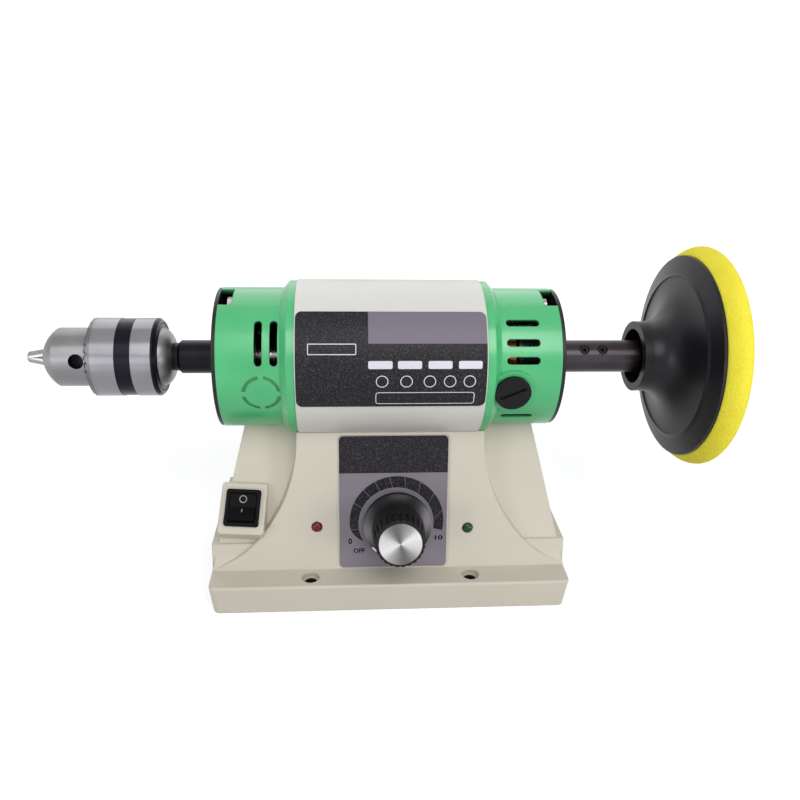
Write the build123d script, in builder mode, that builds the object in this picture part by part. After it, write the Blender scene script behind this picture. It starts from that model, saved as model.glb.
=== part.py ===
from build123d import *
from math import asin, atan2, cos, pi, radians, sin, sqrt, tan
import os

# Bench buffer: a motor on a moulded base, a key chuck on the left, a backing pad on the right.
# X runs along the motor axis with the chuck at -X, Y runs to the back, and Z is up.
# The origin is the centre of the four bench bolt holes on the underside of the base.
# All sizes are in millimetres.

# Motor
axis_height = 133.0
motor_x = -1.4
tube_half_length = 49.6
tube_radius = 43.0
tube_wall = 2.5
bell_length = 42.0
bell_set_in = 4.5
bell_wall = 3.0
collar_set_in = 0.7
collar_lip = 4.2
collar_ramp = 3.6
spigot_length = 10.0
spigot_wall = 3.6
end_plate_thickness = 2.0
end_plate_recess = 0.4
rim_depth = 7.0
end_wall = 4.0
hub_length = 11.0
hub_radius = 18.0
spoke_count = 6
window_width = 13.0
bearing_radius = 14.0
bearing_width = 8.0
bearing_lip = 2.0
journal_radius = 6.0
shaft_radius = 7.5
stub_radius = 5.0
fit_gap = 0.05
seat_gap = 0.05
body_gap = 0.3
overrun = 1.0

# Slots, marks and notches in the end bells
slot_width = 4.0
left_slot_from_face = 23.5
left_slot_pitch = 7.9
left_slot_low_angle = 17.0
left_slot_high_angle = 47.0
right_slot_length = 17.7
right_slot_from_face = 22.6
right_slot_angles = (48.5, 32.0, 18.0, -36.0)
ring_mark_from_face = 24.6
ring_mark_angle = -8.7
ring_mark_radius = 10.0
ring_mark_width = 1.6
ring_mark_depth = 0.9
ring_mark_bridge = 3.0
notch_low_angle = 66.0
notch_high_angle = 92.0

# Through bolts; the share is of the tube's radius
bolt_circle_share = 0.7581
bolt_radius = 2.0
bolt_angle = 80.0
bolt_head_radius = 3.6
bolt_head_height = 3.0
bolt_nut_height = 3.2
bolt_nut_flats = 7.0

# End plate screws, into posts on the spokes of the end bells; the share is of the tube's radius
end_screw_steps = (60.0, 120.0, 240.0, 300.0)
end_screw_circle_share = 0.6233
end_screw_radius = 1.5
end_screw_head_radius = 3.0
end_screw_length = 8.0
end_post_radius = 3.5

# Brush gear
brush_from_face = 27.6
brush_angle = -6.7
brush_cap_radius = 9.5
brush_cap_height = 2.4
brush_cap_neck = 7.2
brush_cap_slot = 1.6
brush_slot_turn = 25.0
brush_boss_radius = 12.0
brush_boss_height = 0.8
brush_width = 6.5
brush_thickness = 8.0
brush_length = 9.0
brush_spring_radius = 2.6
brush_spring_wire = 0.35

# Stator and rotor; the shares are of the tube's radius
stator_half_length = 28.0
stator_bore_share = 0.5581
window_outer_share = 0.7326
pole_half_angle = 55.0
coil_inner_share = 0.5814
coil_outer_share = 0.693
coil_overhang = 8.0
armature_share = 0.5465
armature_slots = 12
armature_slot_width = 3.0
armature_slot_share = 0.186
winding_overhang = 9.0
winding_share = 0.4767
commutator_share = 0.3256
commutator_length = 14.0
commutator_bars = 24
commutator_groove = 0.5
fan_share = 0.686
fan_width = 10.0
fan_disc = 1.6
fan_hub_radius = 10.5
fan_blades = 12
fan_blade_thickness = 1.4

# Name plate on the tube
name_plate_left = -50.4
name_plate_right = 47.6
name_plate_low_angle = -15.5
name_plate_high_angle = 54.0
name_plate_thickness = 0.5
name_plate_corner = 3.2

# Base housing; the saddle's shares are of the tube's radius, the flank's of the saddle's height
base_wall = 3.0
flange_height = 18.4
flange_half_x = 102.0
flange_half_y = 58.1
flange_draft = 1.6
flange_corner = 4.0
panel_foot_y = 42.4
saddle_half_share = 0.5674
saddle_drop_share = 0.8186
wing_foot_x = 101.6
wing_top_x = 82.4
wing_top_y = 6.4
wing_overlap = 1.5
bell_top_x = 52.4
bell_shoulder = (55.6, 0.675)
bell_waist = (67.2, 0.354)
bell_flare = (83.0, 0.131)
bell_foot_tangent = (1.0, -0.5)
ledge_height = 14.6
ledge_set_back = 2.0
edge_fillet = 1.2
bench_hole_x = 45.5
bench_hole_y = 49.5
bench_hole_radius = 3.25
bench_bore_radius = 4.9
bench_bore_depth = 3.6
bench_boss_radius = 7.2
wire_hole_radius = 6.0

# Motor screws, from inside the base into the spigots of the end bells
motor_screw_radius = 2.0
motor_screw_head_radius = 3.5
motor_screw_head_height = 2.6
motor_screw_inset = 5.0

# Bottom cover and its screws
cover_gap = 0.4
cover_recess = 0.8
cover_thickness = 2.0
cover_post_x = 86.0
cover_post_y = 42.0
cover_post_radius = 4.0
cover_screw_radius = 1.5
cover_screw_head_radius = 3.0
cover_screw_length = 9.0
cover_vent_length = 30.0
cover_vent_width = 3.0
cover_vent_pitch = 8.0
cover_vent_count = 5

# Switch
switch_x = -83.3
switch_y = -33.0
switch_z = 54.4
switch_lean = 46.0
switch_roll = -3.5
switch_boss_width = 25.5
switch_boss_length = 29.5
switch_boss_depth = 24.0
switch_boss_wall = 2.5
switch_boss_corner = 2.0
switch_bezel_width = 19.2
switch_bezel_length = 21.0
switch_bezel_height = 2.0
switch_bezel_rim = 1.4
switch_body_width = 17.2
switch_body_length = 19.0
switch_body_wall = 1.1
switch_body_depth = 16.0
switch_pin_width = 4.8
switch_pin_thickness = 0.8
switch_pin_length = 7.0
switch_pin_pitch = 7.0
rocker_tilt = 11.0
rocker_pivot_depth = 1.5
rocker_crown = 3.4
rocker_dip = 1.4
rocker_pin_radius = 1.2

# Lamps
lamp_radius = 3.1
lamp_rise = 1.6
lamp_flange_radius = 4.4
lamp_flange_height = 1.4
lamp_tail = 6.0
red_lamp_x = -41.9
red_lamp_z = 43.6
green_lamp_x = 44.3
green_lamp_z = 41.6

# Control plate on the sloping front panel
control_plate_x = 1.5
control_plate_width = 61.2
control_plate_head = 2.6
control_plate_thickness = 0.8
control_plate_corner = 2.5
control_plate_foot = 1.0
plate_pocket_depth = 0.5
plate_pocket_margin = 0.5
plate_pocket_bevel = 1.2

# Speed control
dial_x = 3.4
dial_z = 46.4
pot_radius = 12.0
pot_depth = 10.0
pot_bush_radius = 4.5
pot_bush_rise = 6.0
pot_nut_flats = 12.0
pot_nut_height = 2.4
pot_shaft_radius = 3.0
knob_clearance = 5.2
knob_skirt_radius = 19.1
knob_skirt_edge = 3.0
knob_waist_radius = 14.6
knob_waist_height = 9.0
knob_barrel_radius = 13.2
knob_height = 27.6
knob_flutes = 24
knob_flute_radius = 1.0
knob_flute_length = 11.0
knob_recess_radius = 9.0
knob_recess_depth = 5.5
knob_shaft_depth = 12.0
knob_cap_radius = 11.5
knob_cap_thickness = 1.6
knob_cap_seat = 0.6

# Speed control board, carried by the bottom cover
board_length = 74.0
board_width = 46.0
board_thickness = 1.6
board_standoff = 8.0
board_post_radius = 3.0
board_screw_radius = 1.4
board_screw_head_radius = 2.6
board_screw_head_height = 1.8
board_screw_inset = 4.5
heat_sink_size = (24.0, 12.0, 20.0)
heat_sink_fins = 5
heat_sink_base = 3.0
heat_sink_x = -22.0
triac_size = (10.0, 4.0, 15.0)
capacitor_size = (18.0, 8.0, 14.0)
capacitor_x = 8.0
choke_radius = 9.0
choke_bore = 4.0
choke_height = 8.0
choke_x = 26.0
terminal_size = (30.0, 8.0, 10.0)
terminal_ways = 4

# Cable gland at the back; its bore is empty
gland_x = -52.0
gland_z = 34.0
gland_radius = 7.5
gland_thread_radius = 6.0
gland_bore_radius = 3.6
gland_flange = 2.4
gland_nose = 9.0
gland_tail = 9.0
gland_nut_flats = 17.0
gland_nut_height = 3.5

# Key chuck
chuck_tip_x = -198.0
chuck_nose_x = -188.5
chuck_nose_radius = 5.6
chuck_shoulder_x = -180.5
chuck_body_radius = 16.1
chuck_back_x = -119.6
chuck_dome_radius = 16.3
chuck_dome_depth = 5.6
chuck_core_radius = 18.4
chuck_mouth_radius = 5.3
chuck_mouth_depth = 42.0
key_hole_x = -167.6
key_hole_radius = 4.0
key_hole_depth = 5.0
key_hole_angle = 12.0
sleeve_front_x = -163.4
sleeve_radius = 21.5
sleeve_bevel_inner = 16.9
sleeve_bevel_length = 2.4
sleeve_back_x = -126.8
sleeve_bore = 18.9
sleeve_back_bevel = 1.4
sleeve_band_x = -146.4
sleeve_band_width = 8.3
sleeve_band_depth = 0.3
sleeve_teeth = 28
tooth_groove_radius = 1.2
nut_length = 8.0
nut_thread_depth = 0.4
jaw_count = 3
jaw_angle = 12.0
jaw_radius = 3.0
jaw_tip_radius = 2.9
jaw_back_x = -152.5
jaw_gap = 0.15
jaw_travel = 24.0
jaw_tip_round = 0.8

# Chuck arbor
arbor_radius = 9.2
arbor_front_x = -116.5
arbor_neck_radius = 7.75
arbor_taper_large = 6.03
arbor_taper_small = 5.6
arbor_taper_length = 18.5
arbor_chamfer = 1.2
set_screw_radius = 2.5
set_screw_socket = 1.25
set_screw_socket_depth = 2.4
set_screw_sink = 0.6
arbor_screw_x = -100.0
arbor_screw_angle = 200.0

# Extension rod and pad
rod_radius = 9.15
rod_end_x = 150.5
rod_stud_radius = 5.0
rod_stud_length = 10.5
rod_bore_end_x = 128.0
rod_screw_x = 109.3
rod_screw_pitch = 10.4
rod_screw_angle = 45.0
pad_hub_x = 140.0
pad_hub_radius = 20.0
pad_hub_straight = 5.0
pad_recess_radius = 15.6
pad_rim_x = 167.4
pad_rim_radius = 57.2
pad_rim_thickness = 1.8
pad_ring_radius = 46.5
pad_ring_width = 1.2
pad_ring_height = 0.7
pad_ring_x = 162.8
trumpet_start_tangent = (1.0, 0.05)
trumpet_end_tangent = (0.12, 1.0)
insert_flats = 22.0
insert_length = 11.0
foam_radius = 62.5
foam_back_radius = 57.6
foam_thickness = 12.2
foam_widest = 8.4
foam_front_round = 3.4
hook_thickness = 1.2

# Places worked out from the sizes above
collar_radius = tube_radius - collar_set_in
bell_radius = tube_radius - bell_set_in
bolt_circle = bolt_circle_share * tube_radius
end_screw_circle = end_screw_circle_share * tube_radius
stator_bore = stator_bore_share * tube_radius
window_outer_radius = window_outer_share * tube_radius
coil_inner_radius = coil_inner_share * tube_radius
coil_outer_radius = coil_outer_share * tube_radius
armature_radius = armature_share * tube_radius
armature_slot_depth = armature_slot_share * tube_radius
winding_radius = winding_share * tube_radius
commutator_radius = commutator_share * tube_radius
fan_radius = fan_share * tube_radius
saddle_top_z = axis_height - saddle_drop_share * tube_radius
saddle_height = saddle_top_z - flange_height
panel_top_y = saddle_half_share * tube_radius
wing_top_z = axis_height - bell_radius + wing_overlap
left_face_x = motor_x - tube_half_length - bell_length
right_face_x = motor_x + tube_half_length + bell_length
motor_axis = Axis((0, 0, axis_height), (1, 0, 0))
axial_plane = Plane(origin=(0, 0, axis_height), x_dir=(1, 0, 0), z_dir=(0, -1, 0))
panel_slope = (panel_foot_y - panel_top_y) / saddle_height
panel_lean = atan2(panel_foot_y - panel_top_y, saddle_height)
wing_lean = atan2(panel_foot_y - wing_top_y, wing_top_z - flange_height)
control_plate_length = saddle_height / cos(panel_lean) - control_plate_foot - control_plate_head

os.makedirs("parts", exist_ok=True)


def save(builder, name):
    """Label a finished piece and write it to its own file."""
    builder.part.label = name
    export_step(builder.part, "parts/" + name + ".step")


def cross_plane(x):
    """A plane across the motor axis: its local x is Y and its local y is Z."""
    return Plane(origin=(x, 0, axis_height), x_dir=(0, 1, 0), z_dir=(1, 0, 0))


def radial_plane(x, angle, radius):
    """A plane square to a radius of the motor; the angle rises from the front."""
    turn = radians(angle)
    out = (0, -cos(turn), sin(turn))
    origin = (x, radius * out[1], axis_height + radius * out[2])
    return Plane(origin=origin, x_dir=(1, 0, 0), z_dir=out)


def around(angle, radius):
    """Y and Z, from the motor axis, of a point at an angle that rises from the front."""
    return (-radius * cos(radians(angle)), radius * sin(radians(angle)))


def panel_plane(x, z, side=-1):
    """A plane on the sloping face of the centre block, front (-1) or back (1)."""
    y = panel_foot_y - (z - flange_height) * panel_slope
    normal = (0, side * cos(panel_lean), sin(panel_lean))
    return Plane(origin=(x, side * y, z), x_dir=(-side, 0, 0), z_dir=normal)


def turned(points):
    """A solid of revolution about the motor axis from a closed outline of (x, radius) points."""
    with BuildPart(mode=Mode.PRIVATE) as piece:
        with BuildSketch(axial_plane):
            with BuildLine():
                Polyline(*points, close=True)
            make_face()
        revolve(axis=motor_axis)
    return piece.part


def countersunk_screw(plane, radius, head_radius, length):
    """A countersunk screw: its head is flush with the plane and its shank runs behind it."""
    with BuildPart(mode=Mode.PRIVATE) as screw:
        with BuildSketch(plane):
            Circle(head_radius)
        with BuildSketch(plane.offset(radius - head_radius)):
            Circle(radius)
        loft()
        with BuildSketch(plane.offset(radius - head_radius)):
            Circle(radius)
        extrude(amount=head_radius - radius - length)
    return screw.part


def pan_screw(plane, radius, head_radius, head_height, length):
    """A cap screw: its head stands on the plane and its shank runs behind it."""
    with BuildPart(mode=Mode.PRIVATE) as screw:
        with BuildSketch(plane):
            Circle(head_radius)
        extrude(amount=head_height)
        with BuildSketch(plane):
            Circle(radius)
        extrude(amount=-length)
        with BuildSketch(plane.offset(head_height)):
            RegularPolygon(head_radius / 2, 6)
        extrude(amount=-head_height / 2, mode=Mode.SUBTRACT)
    return screw.part


# The envelope of the motor case, which the saddle of the base follows
def motor_envelope(gap):
    """The outside of the motor case as one turned solid, grown by a gap."""
    lip = tube_half_length + collar_lip
    ramp = lip + collar_ramp
    end = tube_half_length + bell_length
    half = [
        (tube_half_length, tube_radius + gap),
        (tube_half_length, collar_radius + gap),
        (lip, collar_radius + gap),
        (ramp, bell_radius + gap),
        (end, bell_radius + gap),
    ]
    right = [(motor_x + x, r) for x, r in half]
    left = [(motor_x - x, r) for x, r in reversed(half)]
    return turned([(motor_x - end, 0)] + left + right + [(motor_x + end, 0)])


# Base housing
def base_form(inset):
    """The outer form of the base, or the same form set in by a wall."""
    top = flange_height - inset
    panel_in = inset / cos(panel_lean)
    wing_in = inset / cos(wing_lean)
    panel_low_y = panel_foot_y + inset * tan(panel_lean) - panel_in
    panel_high_y = panel_top_y - panel_in
    wing_low_y = panel_foot_y + inset * tan(wing_lean) - wing_in
    wing_low_x = wing_foot_x - inset
    with BuildPart(mode=Mode.PRIVATE) as flange:
        with BuildSketch(Plane.XY):
            RectangleRounded(
                2 * (flange_half_x - flange_draft - inset),
                2 * (flange_half_y - flange_draft - inset),
                flange_corner,
            )
        with BuildSketch(Plane.XY.offset(top)):
            RectangleRounded(2 * (flange_half_x - inset), 2 * (flange_half_y - inset), flange_corner)
        loft()
        fillet(flange.edges().group_by(Axis.Z)[-1], edge_fillet)
    with BuildPart(mode=Mode.PRIVATE) as wings:
        with BuildSketch(Plane.XY.offset(top)):
            Rectangle(2 * wing_low_x, 2 * wing_low_y)
        with BuildSketch(Plane.XY.offset(wing_top_z)):
            Rectangle(2 * (wing_top_x - inset), 2 * (wing_top_y - wing_in))
        loft()
    with BuildPart(mode=Mode.PRIVATE) as block:
        with BuildSketch(Plane.XZ):
            with BuildLine():
                start = (bell_top_x - inset, saddle_top_z)
                shoulder = (bell_shoulder[0] - inset, flange_height + bell_shoulder[1] * saddle_height)
                waist = (bell_waist[0] - inset, flange_height + bell_waist[1] * saddle_height)
                flare = (bell_flare[0] - inset, flange_height + bell_flare[1] * saddle_height)
                foot = (wing_low_x, top)
                Spline(start, shoulder, waist, flare, foot, tangents=[(0, -1), bell_foot_tangent])
                Polyline(foot, (0, top), (0, saddle_top_z), start)
            make_face()
            mirror(about=Plane.YZ)
        extrude(amount=flange_half_y, both=True)
        with BuildSketch(Plane.YZ):
            Polygon(
                (-panel_low_y, top),
                (panel_low_y, top),
                (panel_high_y, saddle_top_z),
                (-panel_high_y, saddle_top_z),
                align=None,
            )
        extrude(amount=flange_half_x, both=True, mode=Mode.INTERSECT)
    with BuildPart(mode=Mode.PRIVATE) as ledges:
        ledge_y = panel_low_y - ledge_set_back
        with BuildSketch(Plane.YZ):
            Polygon(
                (-ledge_y, top),
                (ledge_y, top),
                (ledge_y - ledge_height * panel_slope, top + ledge_height),
                (ledge_height * panel_slope - ledge_y, top + ledge_height),
                align=None,
            )
        extrude(amount=wing_low_x, both=True)
    with BuildPart(mode=Mode.PRIVATE) as form:
        add(flange.part)
        add(wings.part)
        add(block.part)
        add(ledges.part)
    return form.part


def switch_plane(depth):
    """The plane of the switch face on its raised box, or a plane at a depth behind it."""
    lean = radians(switch_lean)
    roll = radians(switch_roll)
    face = Plane(
        origin=(switch_x, switch_y, switch_z),
        x_dir=(cos(roll), sin(roll) * sin(lean), sin(roll) * cos(lean)),
        z_dir=(0, -cos(lean), sin(lean)),
    )
    return face.offset(-depth)


def switch_box(inset, front):
    """The raised box round the switch, from its face inwards."""
    with BuildPart(mode=Mode.PRIVATE) as box:
        with BuildSketch(switch_plane(front)):
            RectangleRounded(
                switch_boss_width - 2 * inset,
                switch_boss_length - 2 * inset,
                switch_boss_corner,
            )
        extrude(amount=front + inset - switch_boss_depth)
    return box.part


def bench_hole_places():
    return GridLocations(2 * bench_hole_x, 2 * bench_hole_y, 2, 2)


def cover_post_places():
    return GridLocations(2 * cover_post_x, 2 * cover_post_y, 2, 2)


plate_plane_z = flange_height + (control_plate_foot + control_plate_length / 2) * cos(panel_lean)
plate_plane = panel_plane(control_plate_x, plate_plane_z)
dial_plane = panel_plane(dial_x, dial_z)
lamp_planes = {
    "red_lamp": panel_plane(red_lamp_x, red_lamp_z),
    "green_lamp": panel_plane(green_lamp_x, green_lamp_z),
}
gland_plane = panel_plane(gland_x, gland_z, 1)
motor_screw_x = tube_half_length - motor_screw_inset
roof_gap = seat_gap + base_wall

with BuildPart() as base_cavity:
    add(base_form(base_wall))
    add(switch_box(switch_boss_wall, switch_boss_wall))
    add(motor_envelope(roof_gap), mode=Mode.SUBTRACT)

with BuildPart() as base_housing:
    add(base_form(0))
    add(switch_box(0, 0))
    add(motor_envelope(seat_gap), mode=Mode.SUBTRACT)
    add(base_cavity.part, mode=Mode.SUBTRACT)
    # columns for the bench bolts and posts for the cover screws
    with BuildSketch(Plane.XY):
        with bench_hole_places():
            Circle(bench_boss_radius)
    extrude(amount=flange_height - overrun)
    with BuildSketch(Plane.XY.offset(cover_recess + cover_thickness)):
        with cover_post_places():
            Circle(cover_post_radius)
    extrude(amount=flange_height - cover_recess - cover_thickness - overrun)
    # bench bolt holes, let in from the shelf
    with Locations(Plane.XY.offset(flange_height)):
        with bench_hole_places():
            CounterBoreHole(bench_hole_radius, bench_bore_radius, bench_bore_depth, flange_height + overrun)
    with BuildSketch(Plane.XY.offset(cover_recess + cover_thickness)):
        with cover_post_places():
            Circle(cover_screw_radius)
    extrude(amount=cover_screw_length, mode=Mode.SUBTRACT)
    # wire passage and motor screw holes in the saddle
    with BuildSketch(Plane.XY.offset(axis_height - tube_radius - base_wall - overrun)):
        with Locations((motor_x, 0)):
            Circle(wire_hole_radius)
        with Locations((motor_x - motor_screw_x, 0), (motor_x + motor_screw_x, 0)):
            Circle(motor_screw_radius + fit_gap)
    extrude(amount=base_wall + 2 * overrun, mode=Mode.SUBTRACT)
    # shallow pocket for the control plate, and the hole of the speed control
    with BuildSketch(plate_plane):
        RectangleRounded(
            control_plate_width + 2 * (plate_pocket_margin + plate_pocket_bevel),
            control_plate_length + 2 * plate_pocket_margin,
            control_plate_corner + plate_pocket_bevel,
        )
    with BuildSketch(plate_plane.offset(-plate_pocket_depth)):
        RectangleRounded(
            control_plate_width + 2 * plate_pocket_margin,
            control_plate_length + 2 * plate_pocket_margin,
            control_plate_corner,
        )
    loft(mode=Mode.SUBTRACT)
    with BuildSketch(dial_plane):
        Circle(pot_bush_radius + fit_gap)
    extrude(amount=-2 * base_wall, mode=Mode.SUBTRACT)
    # lamp holes
    for lamp_plane in lamp_planes.values():
        with BuildSketch(lamp_plane):
            Circle(lamp_radius + fit_gap)
        extrude(amount=-2 * base_wall, mode=Mode.SUBTRACT)
    # cut-out of the switch
    with BuildSketch(switch_plane(0)):
        Rectangle(switch_body_width + 2 * fit_gap, switch_body_length + 2 * fit_gap)
    extrude(amount=-2 * base_wall, mode=Mode.SUBTRACT)
    # cable gland hole, with a flat for its flange
    with BuildSketch(gland_plane):
        Circle(gland_thread_radius + fit_gap)
    extrude(amount=-2 * base_wall, mode=Mode.SUBTRACT)
save(base_housing, "base_housing")


# Bottom cover with vents, and its countersunk screws
cover_half_x = flange_half_x - flange_draft - base_wall - cover_gap
cover_half_y = flange_half_y - flange_draft - base_wall - cover_gap
cover_top = cover_recess + cover_thickness

with BuildPart() as bottom_cover:
    with BuildSketch(Plane.XY.offset(cover_recess)):
        RectangleRounded(2 * cover_half_x, 2 * cover_half_y, flange_corner - base_wall / 2)
        with bench_hole_places():
            Circle(bench_boss_radius + cover_gap, mode=Mode.SUBTRACT)
        with Locations((cover_half_x / 2, 0), (-cover_half_x / 2, 0)):
            with GridLocations(0, cover_vent_pitch, 1, cover_vent_count):
                SlotOverall(cover_vent_length, cover_vent_width, mode=Mode.SUBTRACT)
    extrude(amount=cover_thickness)
    # posts for the speed board
    with BuildSketch(Plane.XY.offset(cover_top)):
        with GridLocations(board_length - 2 * board_screw_inset, board_width - 2 * board_screw_inset, 2, 2):
            Circle(board_post_radius)
    extrude(amount=board_standoff)
    with BuildSketch(Plane.XY.offset(cover_top)):
        with GridLocations(board_length - 2 * board_screw_inset, board_width - 2 * board_screw_inset, 2, 2):
            Circle(board_screw_radius)
    extrude(amount=board_standoff, mode=Mode.SUBTRACT)
    with Locations(Plane.XY.offset(cover_recess).rotated((180, 0, 0))):
        with cover_post_places():
            CounterSinkHole(cover_screw_radius + fit_gap, cover_screw_head_radius + fit_gap, cover_thickness)
save(bottom_cover, "bottom_cover")

with BuildPart() as cover_screws:
    for x in (-cover_post_x, cover_post_x):
        for y in (-cover_post_y, cover_post_y):
            seat = Plane(origin=(x, y, cover_recess), z_dir=(0, 0, -1))
            add(countersunk_screw(seat, cover_screw_radius, cover_screw_head_radius, cover_screw_length))
save(cover_screws, "cover_screws")


# Motor tube with its wire passage and screw holes
motor_bottom = axis_height - tube_radius

with BuildPart() as motor_tube:
    with BuildSketch(cross_plane(motor_x - tube_half_length)):
        Circle(tube_radius)
        Circle(tube_radius - tube_wall, mode=Mode.SUBTRACT)
    extrude(amount=2 * tube_half_length)
    with BuildSketch(Plane.XY.offset(motor_bottom - overrun)):
        with Locations((motor_x, 0)):
            Circle(wire_hole_radius)
        with Locations((motor_x - motor_screw_x, 0), (motor_x + motor_screw_x, 0)):
            Circle(motor_screw_radius + fit_gap)
    extrude(amount=tube_wall + 2 * overrun, mode=Mode.SUBTRACT)
save(motor_tube, "motor_tube")


# End bells: a green shell with a collar, a spoked end wall and a bearing hub
spigot_radius = tube_radius - tube_wall - seat_gap
inner_radius = bell_radius - bell_wall
wall_out = end_plate_thickness + rim_depth
wall_in = wall_out + end_wall
hub_in = wall_out + hub_length


def end_screw_planes(side):
    """The planes of the end plate screws on one side, over four of the six spokes."""
    face = motor_x + side * (tube_half_length + bell_length)
    planes = []
    for step in end_screw_steps:
        y, z = around(bolt_angle + step, end_screw_circle)
        planes.append(Plane(origin=(face, y, axis_height + z), z_dir=(side, 0, 0)))
    return planes


def end_bell(side):
    """One end bell without its slots; side is -1 on the left and 1 on the right."""

    def at(depth):
        return motor_x + side * (tube_half_length + bell_length - depth)

    lip = at(bell_length - collar_lip)
    ramp = at(bell_length - collar_lip - collar_ramp)
    root = at(bell_length)
    shell = [
        (at(end_plate_thickness), bell_radius),
        (ramp, bell_radius),
        (lip, collar_radius),
        (root, collar_radius),
        (root, spigot_radius),
        (at(bell_length + spigot_length), spigot_radius),
        (at(bell_length + spigot_length), spigot_radius - spigot_wall),
        (root, spigot_radius - spigot_wall),
        (ramp, inner_radius),
        (at(end_plate_thickness), inner_radius),
    ]
    wall = [
        (at(wall_out), hub_radius - overrun),
        (at(wall_out), inner_radius + overrun),
        (at(wall_in), inner_radius + overrun),
        (at(wall_in), hub_radius - overrun),
    ]
    hub = [
        (at(wall_out), journal_radius + body_gap),
        (at(wall_out), hub_radius),
        (at(hub_in), hub_radius),
        (at(hub_in), bearing_radius + seat_gap),
        (at(wall_out + bearing_lip), bearing_radius + seat_gap),
        (at(wall_out + bearing_lip), journal_radius + body_gap),
    ]
    window_pitch = 360 / spoke_count
    with BuildPart(mode=Mode.PRIVATE) as bell:
        add(turned(shell))
        add(turned(wall))
        add(turned(hub))
        # windows between the spokes of the end wall
        with BuildSketch(cross_plane(at(wall_out - overrun))):
            first_window = 180 - bolt_angle + window_pitch / 2
            with PolarLocations((hub_radius + inner_radius) / 2, spoke_count, start_angle=first_window):
                RectangleRounded(inner_radius - hub_radius - bell_wall, window_width, bell_wall)
        extrude(amount=-side * (end_wall + 2 * overrun), mode=Mode.SUBTRACT)
        # holes for the two through bolts
        with BuildSketch(cross_plane(at(wall_out - overrun))):
            with Locations(around(bolt_angle, bolt_circle), around(bolt_angle + 180, bolt_circle)):
                Circle(bolt_radius + fit_gap)
        extrude(amount=-side * (end_wall + 2 * overrun), mode=Mode.SUBTRACT)
        # posts for the end plate screws
        for screw_plane in end_screw_planes(side):
            with BuildSketch(screw_plane.offset(-end_plate_thickness)):
                Circle(end_post_radius)
                Circle(end_screw_radius, mode=Mode.SUBTRACT)
            extrude(amount=-(rim_depth + overrun))
        # hole for the motor screw in the spigot
        with BuildSketch(Plane.XY.offset(axis_height - spigot_radius - overrun)):
            with Locations((at(bell_length + motor_screw_inset), 0)):
                Circle(motor_screw_radius)
        extrude(amount=spigot_wall + 2 * overrun, mode=Mode.SUBTRACT)
        # notches in the outer rim, over the bolt heads
        for turn in (0, 180):
            with BuildSketch(cross_plane(at(end_plate_thickness - overrun))):
                with BuildLine():
                    reach = bell_radius + overrun
                    low = around(notch_low_angle + turn, reach)
                    middle = around((notch_low_angle + notch_high_angle) / 2 + turn, reach)
                    high = around(notch_high_angle + turn, reach)
                    ThreePointArc(low, middle, high)
                    inner_high = around(notch_high_angle + turn, inner_radius - overrun)
                    inner_low = around(notch_low_angle + turn, inner_radius - overrun)
                    Polyline(high, inner_high, inner_low, low)
                make_face()
            extrude(amount=-side * (rim_depth + overrun), mode=Mode.SUBTRACT)
    return bell.part


def curved_slot(x, low_angle, high_angle):
    """A slot that runs round the bell between two angles, with square-cut sides and round ends."""
    depth = bell_wall + 2 * overrun
    with BuildPart(mode=Mode.PRIVATE) as cutter:
        with BuildSketch(cross_plane(x - slot_width / 2)):
            with BuildLine():
                outer = bell_radius + overrun
                low = around(low_angle, outer)
                middle = around((low_angle + high_angle) / 2, outer)
                high = around(high_angle, outer)
                ThreePointArc(low, middle, high)
                inner_low = around(low_angle, outer - depth)
                inner_middle = around((low_angle + high_angle) / 2, outer - depth)
                inner_high = around(high_angle, outer - depth)
                ThreePointArc(inner_high, inner_middle, inner_low)
                Line(high, inner_high)
                Line(inner_low, low)
            make_face()
        extrude(amount=slot_width)
        for angle in (low_angle, high_angle):
            with BuildSketch(radial_plane(x, angle, outer)):
                Circle(slot_width / 2)
            extrude(amount=-depth)
    return cutter.part


def ring_mark(angle):
    """The broken ring that the mould leaves where a brush cap could go."""
    with BuildPart(mode=Mode.PRIVATE) as cutter:
        with BuildSketch(radial_plane(left_face_x + ring_mark_from_face, angle, bell_radius + overrun)):
            Circle(ring_mark_radius)
            Circle(ring_mark_radius - ring_mark_width, mode=Mode.SUBTRACT)
            Rectangle(2 * ring_mark_radius, ring_mark_bridge, mode=Mode.SUBTRACT)
            Rectangle(ring_mark_bridge, 2 * ring_mark_radius, mode=Mode.SUBTRACT)
        extrude(amount=-2 * bell_radius)
        with BuildSketch(cross_plane(left_face_x)):
            Circle(bell_radius - ring_mark_depth)
        extrude(amount=bell_length, mode=Mode.SUBTRACT)
    return cutter.part


brush_x = right_face_x - brush_from_face
front_back = (brush_angle, 180 + brush_angle)

with BuildPart() as left_end_bell:
    add(end_bell(-1))
    for turn in (0, 180):
        for number in range(2):
            slot_x = left_face_x + left_slot_from_face + number * left_slot_pitch
            add(
                curved_slot(slot_x, left_slot_low_angle + turn, left_slot_high_angle + turn),
                mode=Mode.SUBTRACT,
            )
        add(ring_mark(ring_mark_angle + turn), mode=Mode.SUBTRACT)
save(left_end_bell, "left_end_bell")

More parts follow.
